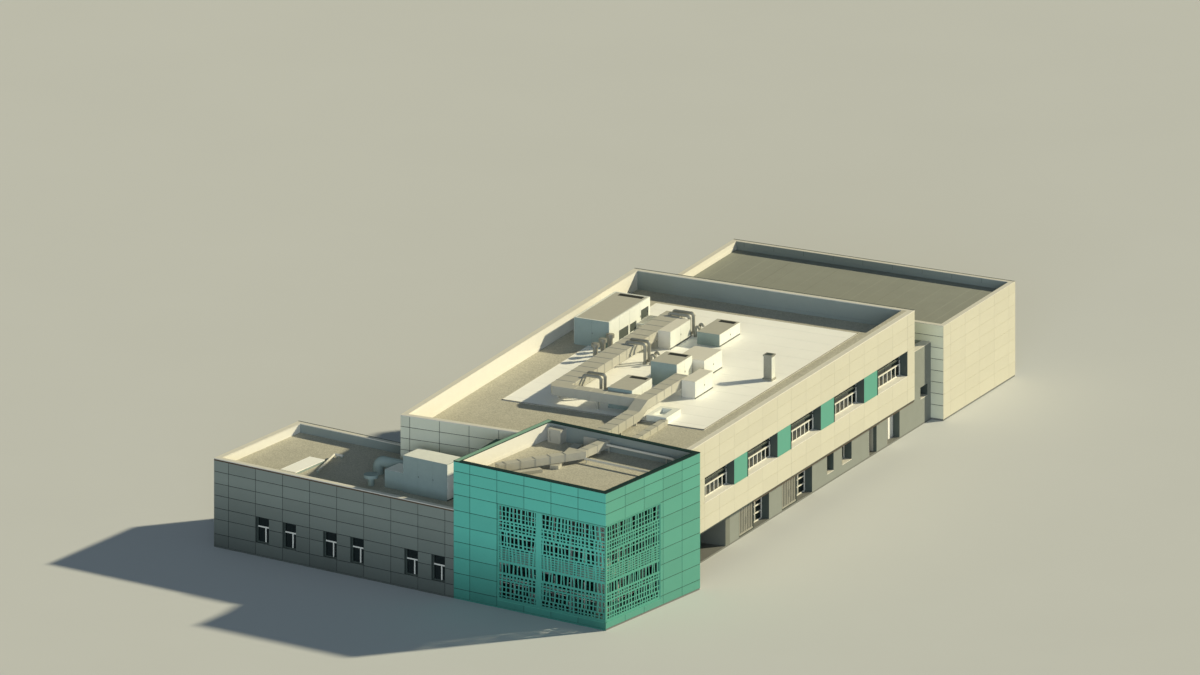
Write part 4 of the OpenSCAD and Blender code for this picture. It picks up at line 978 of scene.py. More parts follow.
class SCHOOL_OT_window_bars(Operator):
    """Bars and sashes of the ribbon windows, of the ground floor windows and of the wing"""

    bl_idname = "school.window_bars"
    bl_label = "Window bars"

    # Width of the CAD frames, and how far the bars lie behind their faces
    inset = 45 * MM
    behind = 5 * MM
    # Transoms, and the foot and top of the ribbon windows' middle rail, measured down from the head
    ribbon_transom = 0.53
    wing_transom = 0.4
    rail_foot, rail_top = 0.347, 0.288
    # Small windows wider than this have an upright in the middle
    single = 0.6

    def ribbon(self, piece, low, high):
        """Six uprights under a light transom, and a dark top light over it."""
        x0, x1 = low.y + self.inset, high.y - self.inset
        y0, y1 = -high.x + self.behind, -low.x - self.behind
        head, transom = high.z - self.inset, high.z - self.ribbon_transom
        light = transom + self.inset
        grid_bars(piece, (x0, y0, low.z + self.inset), (x1, y1, transom), shares(6), [])
        piece.box((low.y + 8 * MM, y0 - 12 * MM, transom), (high.y - 8 * MM, y1, light), "frame_white")
        grid_bars(piece, (x0, y0 + 8 * MM, light), (x1, y1 - 8 * MM, head), [0.5], [], "frame_dark",
                  width=24 * MM)
        # Dark cover strips on the middle rail, on the head and on the jambs of the top light
        piece.box((x0, -high.x - 2 * MM, high.z - self.rail_foot), (x1, y0, high.z - self.rail_top),
                  "frame_dark")
        piece.box((low.y, -high.x - 3 * MM, head), (high.y, y0, high.z), "frame_dark")
        for x in (low.y, x1):
            piece.box((x, -high.x - 3 * MM, light), (x + self.inset, y0, head), "frame_dark")

    def sash(self, piece, low, high, uprights, rails, out=0.0, width=None):
        """Bars inside the frame of a ground floor window."""
        grid_bars(piece, (low.y + self.inset, -high.x + self.behind - out, low.z + self.inset),
                  (high.y - self.inset, -low.x - self.behind, high.z - self.inset), uprights, rails,
                  width=width)

    def execute(self, context):
        across = wall_frame(WORLD, 0, 0, 1)
        piece = Piece("ribbon_bars", across)
        for low, high in solids_in("upper_window_frames"):
            self.ribbon(piece, low, high)
        piece.build()

        piece = Piece("ground_bars", across)
        windows = ground_windows()
        for low, high in windows["left"]:
            self.ribbon(piece, low, high)
        for low, high in windows["porch"]:
            self.sash(piece, low, high, shares(3), [0.4])
        for low, high in windows["garden"]:
            # Two columns of panes between light rails
            self.sash(piece, low, high, [0.52], [0.25, 0.5, 0.76], out=8 * MM, width=40 * MM)
        for low, high in windows["small"]:
            if high.y - low.y > self.single:
                self.sash(piece, low, high, [0.5], [])
        piece.build()

        piece = Piece("wing_bars", TURNED)
        for low, high in solids_in("wing_window_frames", TURNED):
            transom = high.z - self.wing_transom
            x0, x1, y0, y1 = low.x + self.inset, high.x - self.inset, low.y - 3 * MM, high.y - 6 * MM
            grid_bars(piece, (x0, y0, low.z + self.inset), (x1, y1, transom), [0.66], [], width=44 * MM)
            piece.box((x0, y0, transom - 2 * MM), (x1, y1, transom + self.inset + 2 * MM), "frame_white")
            lined_opening(piece, (low.x, low.z, high.x, high.z), low.y, (16, -10, 2, 2, 12), 6 * MM,
                          "cassette_slate")
        piece.build()
        return {"FINISHED"}


class SCHOOL_OT_street_level(Operator):
    """Sills, door linings and soffit of the recessed street level"""

    bl_idname = "school.street_level"
    bl_label = "Street level trim"

    lining = 6 * MM
    thin_lining = 5 * MM
    # White side panel beside the end door, from the far jamb
    side_panel = 0.42
    # Soffit under the overhang: number of boards, thickness and gap on each side of a board
    boards = 6
    board_thick = 8 * MM
    board_gap = 3 * MM

    def door_linings(self, piece, low, high, is_end):
        """Far lining in two parts and light near lining of a recessed door."""
        face, middle, far = STREET_HIGH.x + 3 * MM, (high.x + STREET_HIGH.x) / 2, high.y - self.lining
        piece.box((high.x, far, GROUND), (middle, high.y + SUNK, high.z),
                  "frame_dark" if is_end else "door_slats")
        if is_end:
            piece.box((high.x - 10 * MM, high.y - self.side_panel, GROUND),
                      (high.x + self.lining, far, high.z - 5 * MM), "door_white")
        piece.box((middle, far, GROUND), (face, high.y + SUNK, high.z), "frame_dark")
        piece.box((high.x, low.y - SUNK, GROUND), (face, low.y + self.lining, high.z), "coping_light")

    def soffit(self, piece):
        """Boards under the overhang, and a brown drip profile along their street edge."""
        inner, outer, start, under = STREET_HIGH.x, FACADE_HIGH.x, STREET_LOW.y, FACADE_LOW.z
        width = (outer - inner) / self.boards
        for k in range(self.boards):
            piece.box((inner + k * width + self.board_gap, start, under - self.board_thick),
                      (inner + (k + 1) * width - self.board_gap, FACADE_HIGH.y - 5 * MM, under),
                      "render_inner")
        piece.box((outer - 40 * MM, start, under - 55 * MM), (outer - 6 * MM, FACADE_HIGH.y - 6 * MM, under),
                  "board_brown")

    def execute(self, context):
        piece = Piece("street_trim")
        face = STREET_HIGH.x
        windows = ground_windows()
        for low, high in windows["small"]:
            piece.box((high.x, low.y, low.z - 14 * MM), (face + 12 * MM, high.y, low.z + 4 * MM),
                      "coping_light")
            for y in (low.y, high.y - self.thin_lining):
                piece.box((high.x, y, low.z), (face + 3 * MM, y + self.thin_lining, high.z), "frame_dark")
        recessed = [corners for corners in solids_in("door_frames") if corners[1].x < face - 0.1]
        for low, high in recessed:
            self.door_linings(piece, low, high, is_end=high is recessed[-1][1])
        for low, high in windows["garden"]:
            piece.box((high.x, high.y - self.lining, GROUND), (face + 3 * MM, high.y + SUNK, high.z),
                      "frame_dark")
        self.soffit(piece)
        piece.build()
        return {"FINISHED"}


class SCHOOL_OT_screens(Operator):
    """The perforated sheets with their rims, the posts that carry them and the windows behind them"""

    bl_idname = "school.screens"
    bl_label = "Screens"

    # Bands of openings from the head down: heights of the rows, bar between them and bar under the band
    bands = (((0.18, 0.15, 0.12), 0.03, 0.06), ((0.06, 0.11, 0.06), 0.045, 0.08),
             ((0.09, 0.24, 0.09), 0.04, 0.06), ((0.045,) * 6, 0.045, 0.1), ((0.36,), 0.0, 0.08),
             ((0.07, 0.07), 0.04, 0.06), ((0.2, 0.15), 0.04, 0.05), ((0.1, 0.06), 0.04, 0.08))
    # Width of a sheet's edge, depth of the bars in it, and how far the level bars and the uprights lie
    # behind its face
    edge = 50 * MM
    bar_depth = 18 * MM
    behind = 4 * MM
    set_back = 1 * MM
    # Uprights at random: space before the first, least space after the last, width, space to the next,
    # lean as a share of the band's height, and how far their ends reach into the level bars
    first_space = (0.06, 0.12)
    last_space = 0.08
    upright_width = (0.04, 0.075)
    upright_space = (0.07, 0.15)
    lean = 0.09
    lap = 10 * MM
    # Stretch of the front sheet that has no openings
    front_plain = (-3.05, -2.81)
    # Dark windows behind the sheets: foot and head, as seen in the plane of the sheets, and their rails
    window_rows = ((0.42, 1.66, (0.47, 0.6)), (2.24, 3.86, (0.32, 0.5)))
    # Groups of windows along each sheet, and how far aside and down they lie, as they are seen slantwise
    front_groups = ((-4.66, -3.3), (-2.8, -1.62), (-1.44, -0.38))
    front_shift = (-0.42, 0.233)
    side_groups = ((0.35, 1.2), (1.34, 2.3), (2.42, 3.42))
    side_shift = (0.846, 0.331)
    # Posts: place of the first, step, least distance from the corner, width, and heights of the brackets
    first_post, post_step, post_start = 0.47, 0.94, 0.3
    post = 45 * MM
    bracket_foot, bracket_middle, bracket_head = 0.1, 1.95, 0.12

    def uprights(self, piece, start, end, foot, top, near, finish, dice):
        """Flat bars between two level bars that lean at random."""
        x = start + self.edge + dice.uniform(*self.first_space)
        while x < end - self.edge - self.last_space:
            wide = dice.uniform(*self.upright_width)
            shift = dice.uniform(-self.lean, self.lean) * (top - foot)
            plan = ((0, near), (wide, near), (wide, near + self.bar_depth), (0, near + self.bar_depth))
            piece.loft([(x + a, y, foot - self.lap) for a, y in plan],
                       [(x + a + shift, y, top + self.lap) for a, y in plan], finish, dice.uniform(-1, 1))
            x += wide + dice.uniform(*self.upright_space)

    def sheet(self, node, base, start, end, finish, seed, plain=()):
        """A sheet along X of base that stands for a CAD screen, its openings cut at random."""
        low, high = corners_in(node, base)
        piece = Piece(node + "_sheet", base)
        dice = random.Random(seed)
        near, far = low.y + self.behind, low.y + self.bar_depth
        for x in (start, end - self.edge):
            piece.box((x, low.y, low.z), (x + self.edge, high.y, high.z), finish)
        inner, outer = low.y + self.set_back, high.y - self.set_back
        piece.box((start, inner, high.z - self.edge), (end, outer, high.z), finish)
        for x0, x1 in plain:
            piece.box((x0, low.y + 2 * MM, low.z), (x1, high.y - 2 * MM, high.z), finish)
        top = high.z - self.edge
        for band in self.bands:
            rows, bar, under = band
            foot = top - sum(rows) - bar * (len(rows) - 1)
            level = top
            for row in rows[:-1]:
                level -= row + bar
                piece.box((start, near, level), (end, far, level + bar), finish, dice.uniform(-1, 1))
            if band is self.bands[-1]:
                piece.box((start, inner, low.z), (end, outer, foot), finish)
            else:
                piece.box((start, near, foot - under), (end, far, foot), finish)
            self.uprights(piece, start, end, foot, top, low.y + self.set_back, finish, dice)
            top = foot - under
        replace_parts(piece.build(), node)

    def windows(self, piece, base, depth, groups, shift):
        """Dark bands of glass with light rails on the wall behind a sheet."""
        over, down = shift
        for x0, x1 in groups:
            columns = max(1, round((x1 - x0) / 0.6) - 1)
            for z0, z1, rails in self.window_rows:
                foot, head = z0 - down, z1 - down
                piece.box((x0 + over, depth - 14 * MM, foot), (x1 + over, depth + 3 * MM, head), "glass",
                          place=base)
                grid_bars(piece, (x0 + over, depth - 24 * MM, foot), (x1 + over, depth - 10 * MM, head),
                          shares(columns), rails, width=30 * MM, place=base)

    def execute(self, context):
        front_low, front_high = corners_in("front_screen", TURNED)
        side = wall_frame(TURNED, 0, 0, 1)
        side_low, side_high = corners_in("side_screen", side)
        left, right, foot, head, thick = front_low.x, side_high.x, front_low.z, front_high.z, front_high.y

        # Rims along the head, the foot and the free ends, and round the corner
        rim = Piece("screen_rims")
        face, half = 13 * MM, 13 * MM
        for z in (foot, head):
            rim.box((left, -face, z - half), (face, thick, z + half), "screen_turquoise", place=TURNED)
            rim.box((-face, -face, z - half), (right, thick, z + half), "screen_turquoise", place=side)
        for x, base in ((left, TURNED), (right, side)):
            rim.box((x - half, -face, foot), (x + half, thick, head), "screen_turquoise", place=base)
        rim.box((-30 * MM, -face, foot), (face, 30 * MM, head), "screen_turquoise", place=TURNED)
        rim.build()
        # The front sheet takes the turquoise of painted shade, the side sheet the plain one
        self.sheet("front_screen", TURNED, left, front_high.x, "screen_shaded", 61, [self.front_plain])
        self.sheet("side_screen", side, side_low.x, right, "screen_turquoise", 62)

        # Posts behind the screens, and brackets from them to the wall with the windows
        posts = Piece("screen_posts")
        back = corners_in("corner_inner_front", TURNED)[0].y
        for base, reach, sign in ((TURNED, -left, -1), (side, right, 1)):
            for place in repeated(self.first_post, self.post_step, self.post_start, reach):
                x = sign * place
                posts.box((x - self.post / 2, thick, foot), (x + self.post / 2, thick + self.post, head),
                          "frame_dark", place=base)
                for z in (foot + self.bracket_foot, self.bracket_middle, head - self.bracket_head):
                    posts.box((x - 12 * MM, thick + self.post, z), (x + 12 * MM, back, z + 30 * MM),
                              "frame_dark", place=base)
        posts.build()

        frames = Piece("corner_window_frames")
        edge, column = 40 * MM, 0.45
        for low, high in solids_in("corner_glass", TURNED):
            if high.x - low.x > high.y - low.y:
                base, x0, x1, y = TURNED, low.x, high.x, low.y
            else:
                base, x0, x1, y = side, low.y, high.y, -high.x
            z0, z1, near, far = low.z, high.z, y - 20 * MM, y + 30 * MM
            for x in (x0, x1 - edge):
                frames.box((x, near, z0), (x + edge, far, z1), "frame_white", place=base)
            for z in (z0, z1 - edge):
                frames.box((x0, near, z), (x1, far, z + edge), "frame_white", place=base)
            count = max(1, round((x1 - x0) / column) - 1)
            grid_bars(frames, (x0, near, z0), (x1, far, z1), shares(count), [0.68], place=base)
        frames.build()

        bands = Piece("screened_windows")
        self.windows(bands, TURNED, back, self.front_groups, self.front_shift)
        self.windows(bands, side, back, self.side_groups, self.side_shift)
        bands.build()
        return {"FINISHED"}


class SCHOOL_OT_roof_edges(Operator):
    """Coping straps, parapet flashings and the laps of the roofing"""

    bl_idname = "school.roof_edges"
    bl_label = "Roof edges"

    # Width of the copings, of the street side's, and of the corner block's faded one
    narrow = 0.215
    wide = 0.39
    faded = 0.19
    # Cover straps: half their width along the coping
    strap_half = 25 * MM
    # The front's straps and flashing end this far before the corner block
    strap_end = 0.4
    flashing_end = 0.2
    # Flashing at the foot of the parapets
    flashing = 10 * MM
    rise = 0.12
    # First laps and widths of the lap strips, on the deck and on the hall
    deck_first, deck_lap = 0.4, 40 * MM
    hall_first, hall_lap = 0.5, 45 * MM
    deck_edge = 30 * MM
    # Dark drip edges on the far side of the copings, the wing's only as far as its low unit
    drip = 40 * MM
    wing_drip_end = -11.5

    def straps(self, piece, base, reach, width, top, finish):
        """Cover straps across a coping that runs along X of base as far as reach."""
        step = bpy.context.scene.school_sizes.strap_step
        for x in repeated(step / 2, step, 0, reach):
            piece.box((x - self.strap_half, -2 * MM, top - 28 * MM),
                      (x + self.strap_half, width + 2 * MM, top + 3 * MM), finish, place=base)

    def copings(self, street_from):
        """Straps of the light and of the green copings."""
        low, high = corners_in("main_copings", WORLD)
        end, far = corners_in("wing_copings", TURNED)
        front = FRONT_MEET.x - MAIN_LOW.x - self.strap_end
        straps = Piece("coping_straps")
        for base, reach, width, top in (
                (wall_frame(WORLD, low.x, high.y, 3), high.y - low.y, self.narrow, high.z),
                (wall_frame(WORLD, high.x, high.y, 2), high.x - low.x, self.narrow, high.z),
                (wall_frame(WORLD, high.x, street_from, 1), high.y - street_from, self.wide, high.z),
                (wall_frame(WORLD, low.x, low.y, 0), front, self.narrow, high.z),
                (wall_frame(TURNED, end.x, end.y, 0), far.x - end.x, self.narrow, far.z),
                (wall_frame(TURNED, end.x, far.y, 3), far.y - end.y, self.narrow, far.z)):
            self.straps(straps, base, reach, width, top, "coping_light")
        straps.build()

        green = Piece("green_coping_straps", TURNED)
        out, left, top = COPING_OVER, CORNER_LOW.x, corners_in("corner_copings", TURNED)[1].z
        for base, reach in ((wall_frame(TURNED, left, -out, 0), out - left),
                            (wall_frame(TURNED, out, -out, 1), CORNER_BACK + 2 * out),
                            (wall_frame(TURNED, out, CORNER_BACK + out, 2), -left)):
            self.straps(green, base, reach, self.narrow, top, "green_coping")
        # Faded cover of the left coping
        green.box((left, out, top - SUNK), (left + self.faded, CORNER_BACK - out, top + 2 * MM),
                  "coping_faded")
        green.build()

    def flashings(self, street_from):
        """Flashing round the foot of the parapets; on the rear ones it takes the grey of painted shade."""
        piece = Piece("parapet_flashings")
        thick = self.flashing
        for node, base, z in (("hall_roof", WORLD, HALL_ROOF), ("corner_roof", TURNED, CORNER_ROOF),
                              ("main_roof", WORLD, MAIN_ROOF)):
            low, high = corners_in(node, base)
            x0, y0, x1, y1 = low.x, low.y, high.x, high.y
            is_main = node == "main_roof"
            # On the main roof the front ends at the corner block, and so does the street side
            front_end = FRONT_MEET.x - self.flashing_end if is_main else x1
            street_y = street_from if is_main else y0
            for a, b, finish in (((x0, y0), (front_end, y0 + thick), "parapet_lining"),
                                 # The rear flashing takes the grey of painted shade
                                 ((x0, y1 - thick), (x1, y1), "flashing_grey"),
                                 ((x0, y0), (x0 + thick, y1), "parapet_lining"),
                                 ((x1 - thick, street_y), (x1, y1), "parapet_lining")):
                piece.box((*a, z), (*b, z + self.rise), finish, place=base)
        piece.build()

    def gravel_margin(self, street_from):
        """Gravel on the inner part of the street parapet."""
        high = corners_in("main_copings", WORLD)[1]
        piece = Piece("street_gravel_margin")
        piece.box((high.x - self.wide - 4 * MM, street_from - 50 * MM, high.z - 6 * MM),
                  (high.x - self.narrow, high.y - self.narrow, high.z + 5 * MM), "roof_gravel")
        piece.build()

    def laps(self, sizes):
        """Laps of the membrane and of the felt, and the metal edge round the white deck."""
        piece = Piece("roof_laps")
        dice = random.Random(51)
        margin = 10 * MM
        low, high = DECK_LOW, DECK_HIGH
        for y in repeated(low.y + self.deck_first, sizes.lap_step, low.y, high.y - 50 * MM):
            piece.box((low.x + margin, y, high.z - SUNK),
                      (high.x - margin, y + self.deck_lap, high.z + 2 * MM), "membrane",
                      dice.uniform(-1.5, -0.5))
        low, high = corners_in("hall_roof", WORLD)
        for x in repeated(low.x + self.hall_first, sizes.lap_step / 2, low.x, high.x - 60 * MM):
            piece.box((x, low.y + margin, high.z - SUNK),
                      (x + self.hall_lap, high.y - margin, high.z + 3 * MM), "felt", dice.uniform(-1.5, 1.0))
        x0, y0, x1, y1, edge = DECK_LOW.x, DECK_LOW.y, DECK_HIGH.x, DECK_HIGH.y, self.deck_edge
        for a, b in (((x0, y0), (x1, y0 + edge)), ((x0, y1 - edge), (x1, y1)),
                     ((x0, y0), (x0 + edge, y1)), ((x1 - edge, y0), (x1, y1))):
            piece.box((*a, DECK_HIGH.z - 20 * MM), (*b, DECK_HIGH.z + 4 * MM), "coping_light")
        piece.build()

    def hall_copings(self):
        """Copings of the hall and the link, and dark drip edges on the far side of all light copings."""
        piece = Piece("hall_copings")
        thick, inner = 16 * MM, 0.185
        x0, y0, x1, y1, top = HALL_LOW.x, HALL_LOW.y, HALL_HIGH.x + 14 * MM, HALL_HIGH.y, HALL_HIGH.z
        for a, b, c, d in around((x0, y0, x1, y1), [(x0 + inner, y0 + inner, x1 - inner, y1 - inner)]):
            piece.box((a, b, top + 1 * MM), (c, d, top + thick), "coping_light")
        piece.box((x0, y1 - self.drip, top + thick - 2 * MM), (x1, y1, top + thick + 5 * MM), "frame_dark")
        for node, base, end in (("main_copings", WORLD, None), ("wing_copings", TURNED, self.wing_drip_end)):
            low, high = corners_in(node, base)
            piece.box((low.x, high.y - self.drip, high.z - SUNK),
                      (end or high.x, high.y + 3 * MM, high.z + 6 * MM), "frame_dark", place=base)
        low, high, width = LINK_LOW, LINK_HIGH, 0.36
        for x in (low.x, high.x - width):
            piece.box((x, low.y + 2 * MM, high.z - 2 * MM), (x + width, high.y - 12 * MM, high.z + thick),
                      "coping_light")
        piece.build()

    def execute(self, context):
        # The street side's coping starts where it leaves the corner block
        coping_face = corners_in("main_copings", WORLD)[1].x
        street_from = meeting((0, CORNER_BACK, 0), LEFTWARDS, 0, coping_face)[0].y + 0.1
        self.copings(street_from)
        self.flashings(street_from)
        self.gravel_margin(street_from)
        self.laps(context.scene.school_sizes)
        self.hall_copings()
        return {"FINISHED"}


class SCHOOL_OT_air_units(Operator):
    """Door sheets, louvre blades, hatch and landing of the air handling units"""

    bl_idname = "school.air_units"
    bl_label = "Air handling units"

    # Openings in the long unit's street side, along Y and up from the roof, as the CAD recesses them
    unit_size = Vector((1.392, 3.328, 1.013))
    recess = 30 * MM
    louvres = [(0.811, 0.130, 1.542, 0.450), (1.705, 0.150, 2.192, 0.430)]
    hatch = (2.596, 0.36, 3.166, 0.70)
    opening_rim = 15 * MM
    # Its landing: from the unit's far end, height, depth, and the grating's length, step and bar width
    landing_back, landing_height, landing_depth = 1.063, 0.33, 0.456
    grating_length, grating_step, grating_bar = 1.0, 0.06, 12 * MM
    # Width of a door on the deck's units and on the wing's
    deck_door = 0.8
    wing_door = 0.64
    # Units lower than this are hoods. Those longer than the next size have flat tops, and the painted shade
    # on their shaded sides is a light sheet, unless their width lies between the last two sizes
    hood_height = 0.3
    long_unit = 1.4
    tray_widths = (0.6, 1.0)
    # The hood's mouth, along X and Y from its corner
    mouth = (0.15, 0.12, 0.55, 0.99)
    # Units on the wing: corner, width, depth and height. The last is the foot of the pipes, with no doors
    wing_units = ((-9.89, 1.5, 1.92, 1.0, 1.385), (-10.76, 1.6, 0.87, 0.9, 0.668),
                  (-14.8, 0.9, 0.64, 1.8, 0.1))
    lowest_doors = 0.5

    def hatch_door(self, piece, wall, area):
        """A rim, and a door with two hinges and a handle."""
        x0, z0, x1, z1 = area
        rim, gap, middle = self.opening_rim, 6 * MM, (z0 + z1) / 2
        for a, b, c, d in around((x0 - rim, z0 - rim, x1 + rim, z1 + rim), [area]):
            piece.box((a, -8 * MM, b), (c, SUNK, d), "frame_dark", place=wall)
        piece.box((x0 + gap, 4 * MM, z0 + gap), (x1 - gap, self.recess, z1 - gap), "frame_dark", 0.5,
                  place=wall)
        for z in (z0 + 60 * MM, z1 - 0.1):
            piece.box((x0 - 4 * MM, -12 * MM, z), (x0 + 40 * MM, gap, z + 40 * MM), "frame_dark", place=wall)
        piece.box((x1 - 60 * MM, -14 * MM, middle - 30 * MM), (x1 - 40 * MM, 6 * MM, middle + 30 * MM),
                  "frame_dark", place=wall)

    def long_unit_sheets(self):
        """Sheets, louvres and hatch of the long unit, and the grating of its landing."""
        low = corners_in("roof_air_unit", WORLD)[0]
        high, rim = low + self.unit_size, self.opening_rim
        openings = [(a, low.z + b, c, low.z + d) for a, b, c, d in self.louvres + [self.hatch]]
        holes = [(a - rim, b - rim, c + rim, d + rim) for a, b, c, d in openings]
        piece = Piece("long_unit_sheets")
        cabinet(piece, WORLD, low, high, self.deck_door, 61, {1: holes})
        tray_top(piece, low, high, 60 * MM, 5 * MM)
        wall = wall_frame(WORLD, high.x, low.y, 1)
        for area in openings[:-1]:
            louvre(piece, wall, area, self.recess)
        self.hatch_door(piece, wall, openings[-1])
        x0, x1 = high.x, high.x + self.landing_depth
        y0, z0 = high.y - self.landing_back, low.z + self.landing_height
        for y in repeated(40 * MM, self.grating_step, 0.0, self.grating_length):
            piece.box((x0, y0 + y, z0), (x1, y0 + y + self.grating_bar, z0 + 8 * MM), "zinc")
        piece.build(edge=2 * MM)

    def small_unit_sheets(self):
        """Sheets of the other units on the deck, and the angle round the hood's mouth."""
        piece = Piece("small_unit_sheets")
        for k, (low, high) in enumerate(solids_in("small_air_units")):
            wide, deep, tall = high - low
            if tall < self.hood_height:
                x0, y0, x1, y1 = self.mouth
                for a, b, c, d in around((low.x - 5 * MM, low.y - 5 * MM, high.x + 5 * MM, high.y + 5 * MM),
                                         [(low.x + x0, low.y + y0, low.x + x1, low.y + y1)]):
                    piece.box((a, b, high.z - 4 * MM), (c, d, high.z + 6 * MM), "cabinet_sheet")
                continue
            plain = deep > self.long_unit and not self.tray_widths[0] < wide < self.tray_widths[1]
            cabinet(piece, WORLD, low, high, self.deck_door, 70 + k,
                    shade="coping_light" if plain else "cabinet_shaded")
            if plain:
                cover_sheet(piece, low, high, "coping_light")
            else:
                tray_top(piece, low, high, 2 * MM, -3 * MM)
        piece.build(edge=1.5 * MM)

    def stack_sheets(self):
        """Sheet of painted light on the square stack's sunlit street side, and a dark sheet of painted shade
        for the inside of its mouth.
        """
        piece = Piece("stack_sheets")
        low, high = solids_in("roof_stacks")[-1]
        side, rim = 21 * MM, 50 * MM
        # Painted light: a bright sheet on the sunlit side of the zinc stack
        piece.box((high.x - 24 * MM, low.y + side, low.z + SUNK),
                  (high.x - 14 * MM, high.y - side, high.z - 80 * MM), "cabinet_sheet")
        # Painted shade: a dark sheet for the inside of the mouth
        piece.box((low.x + rim, low.y + rim, high.z - SUNK), (high.x - rim, high.y - rim, high.z + 4 * MM),
                  "frame_dark")
        piece.build()

    def wing_unit_sheets(self):
        """The wing's units carry painted shade: their front and left sides take the dark sheets, and only
        their tops and street sides are bright.
        """
        piece = Piece("wing_unit_sheets")
        for k, (x, y, wide, deep, tall) in enumerate(self.wing_units):
            low = Vector((x, y, WING_ROOF))
            high = low + Vector((wide, deep, tall))
            has_doors = tall > self.lowest_doors
            if has_doors:
                cabinet(piece, TURNED, low, high, self.wing_door, 80 + k)
            cover_sheet(piece, low, high, "cabinet_sheet" if has_doors else "parapet_lining", TURNED)
        piece.build(edge=2 * MM)

    def execute(self, context):
        self.long_unit_sheets()
        self.small_unit_sheets()
        self.stack_sheets()
        self.wing_unit_sheets()
        return {"FINISHED"}


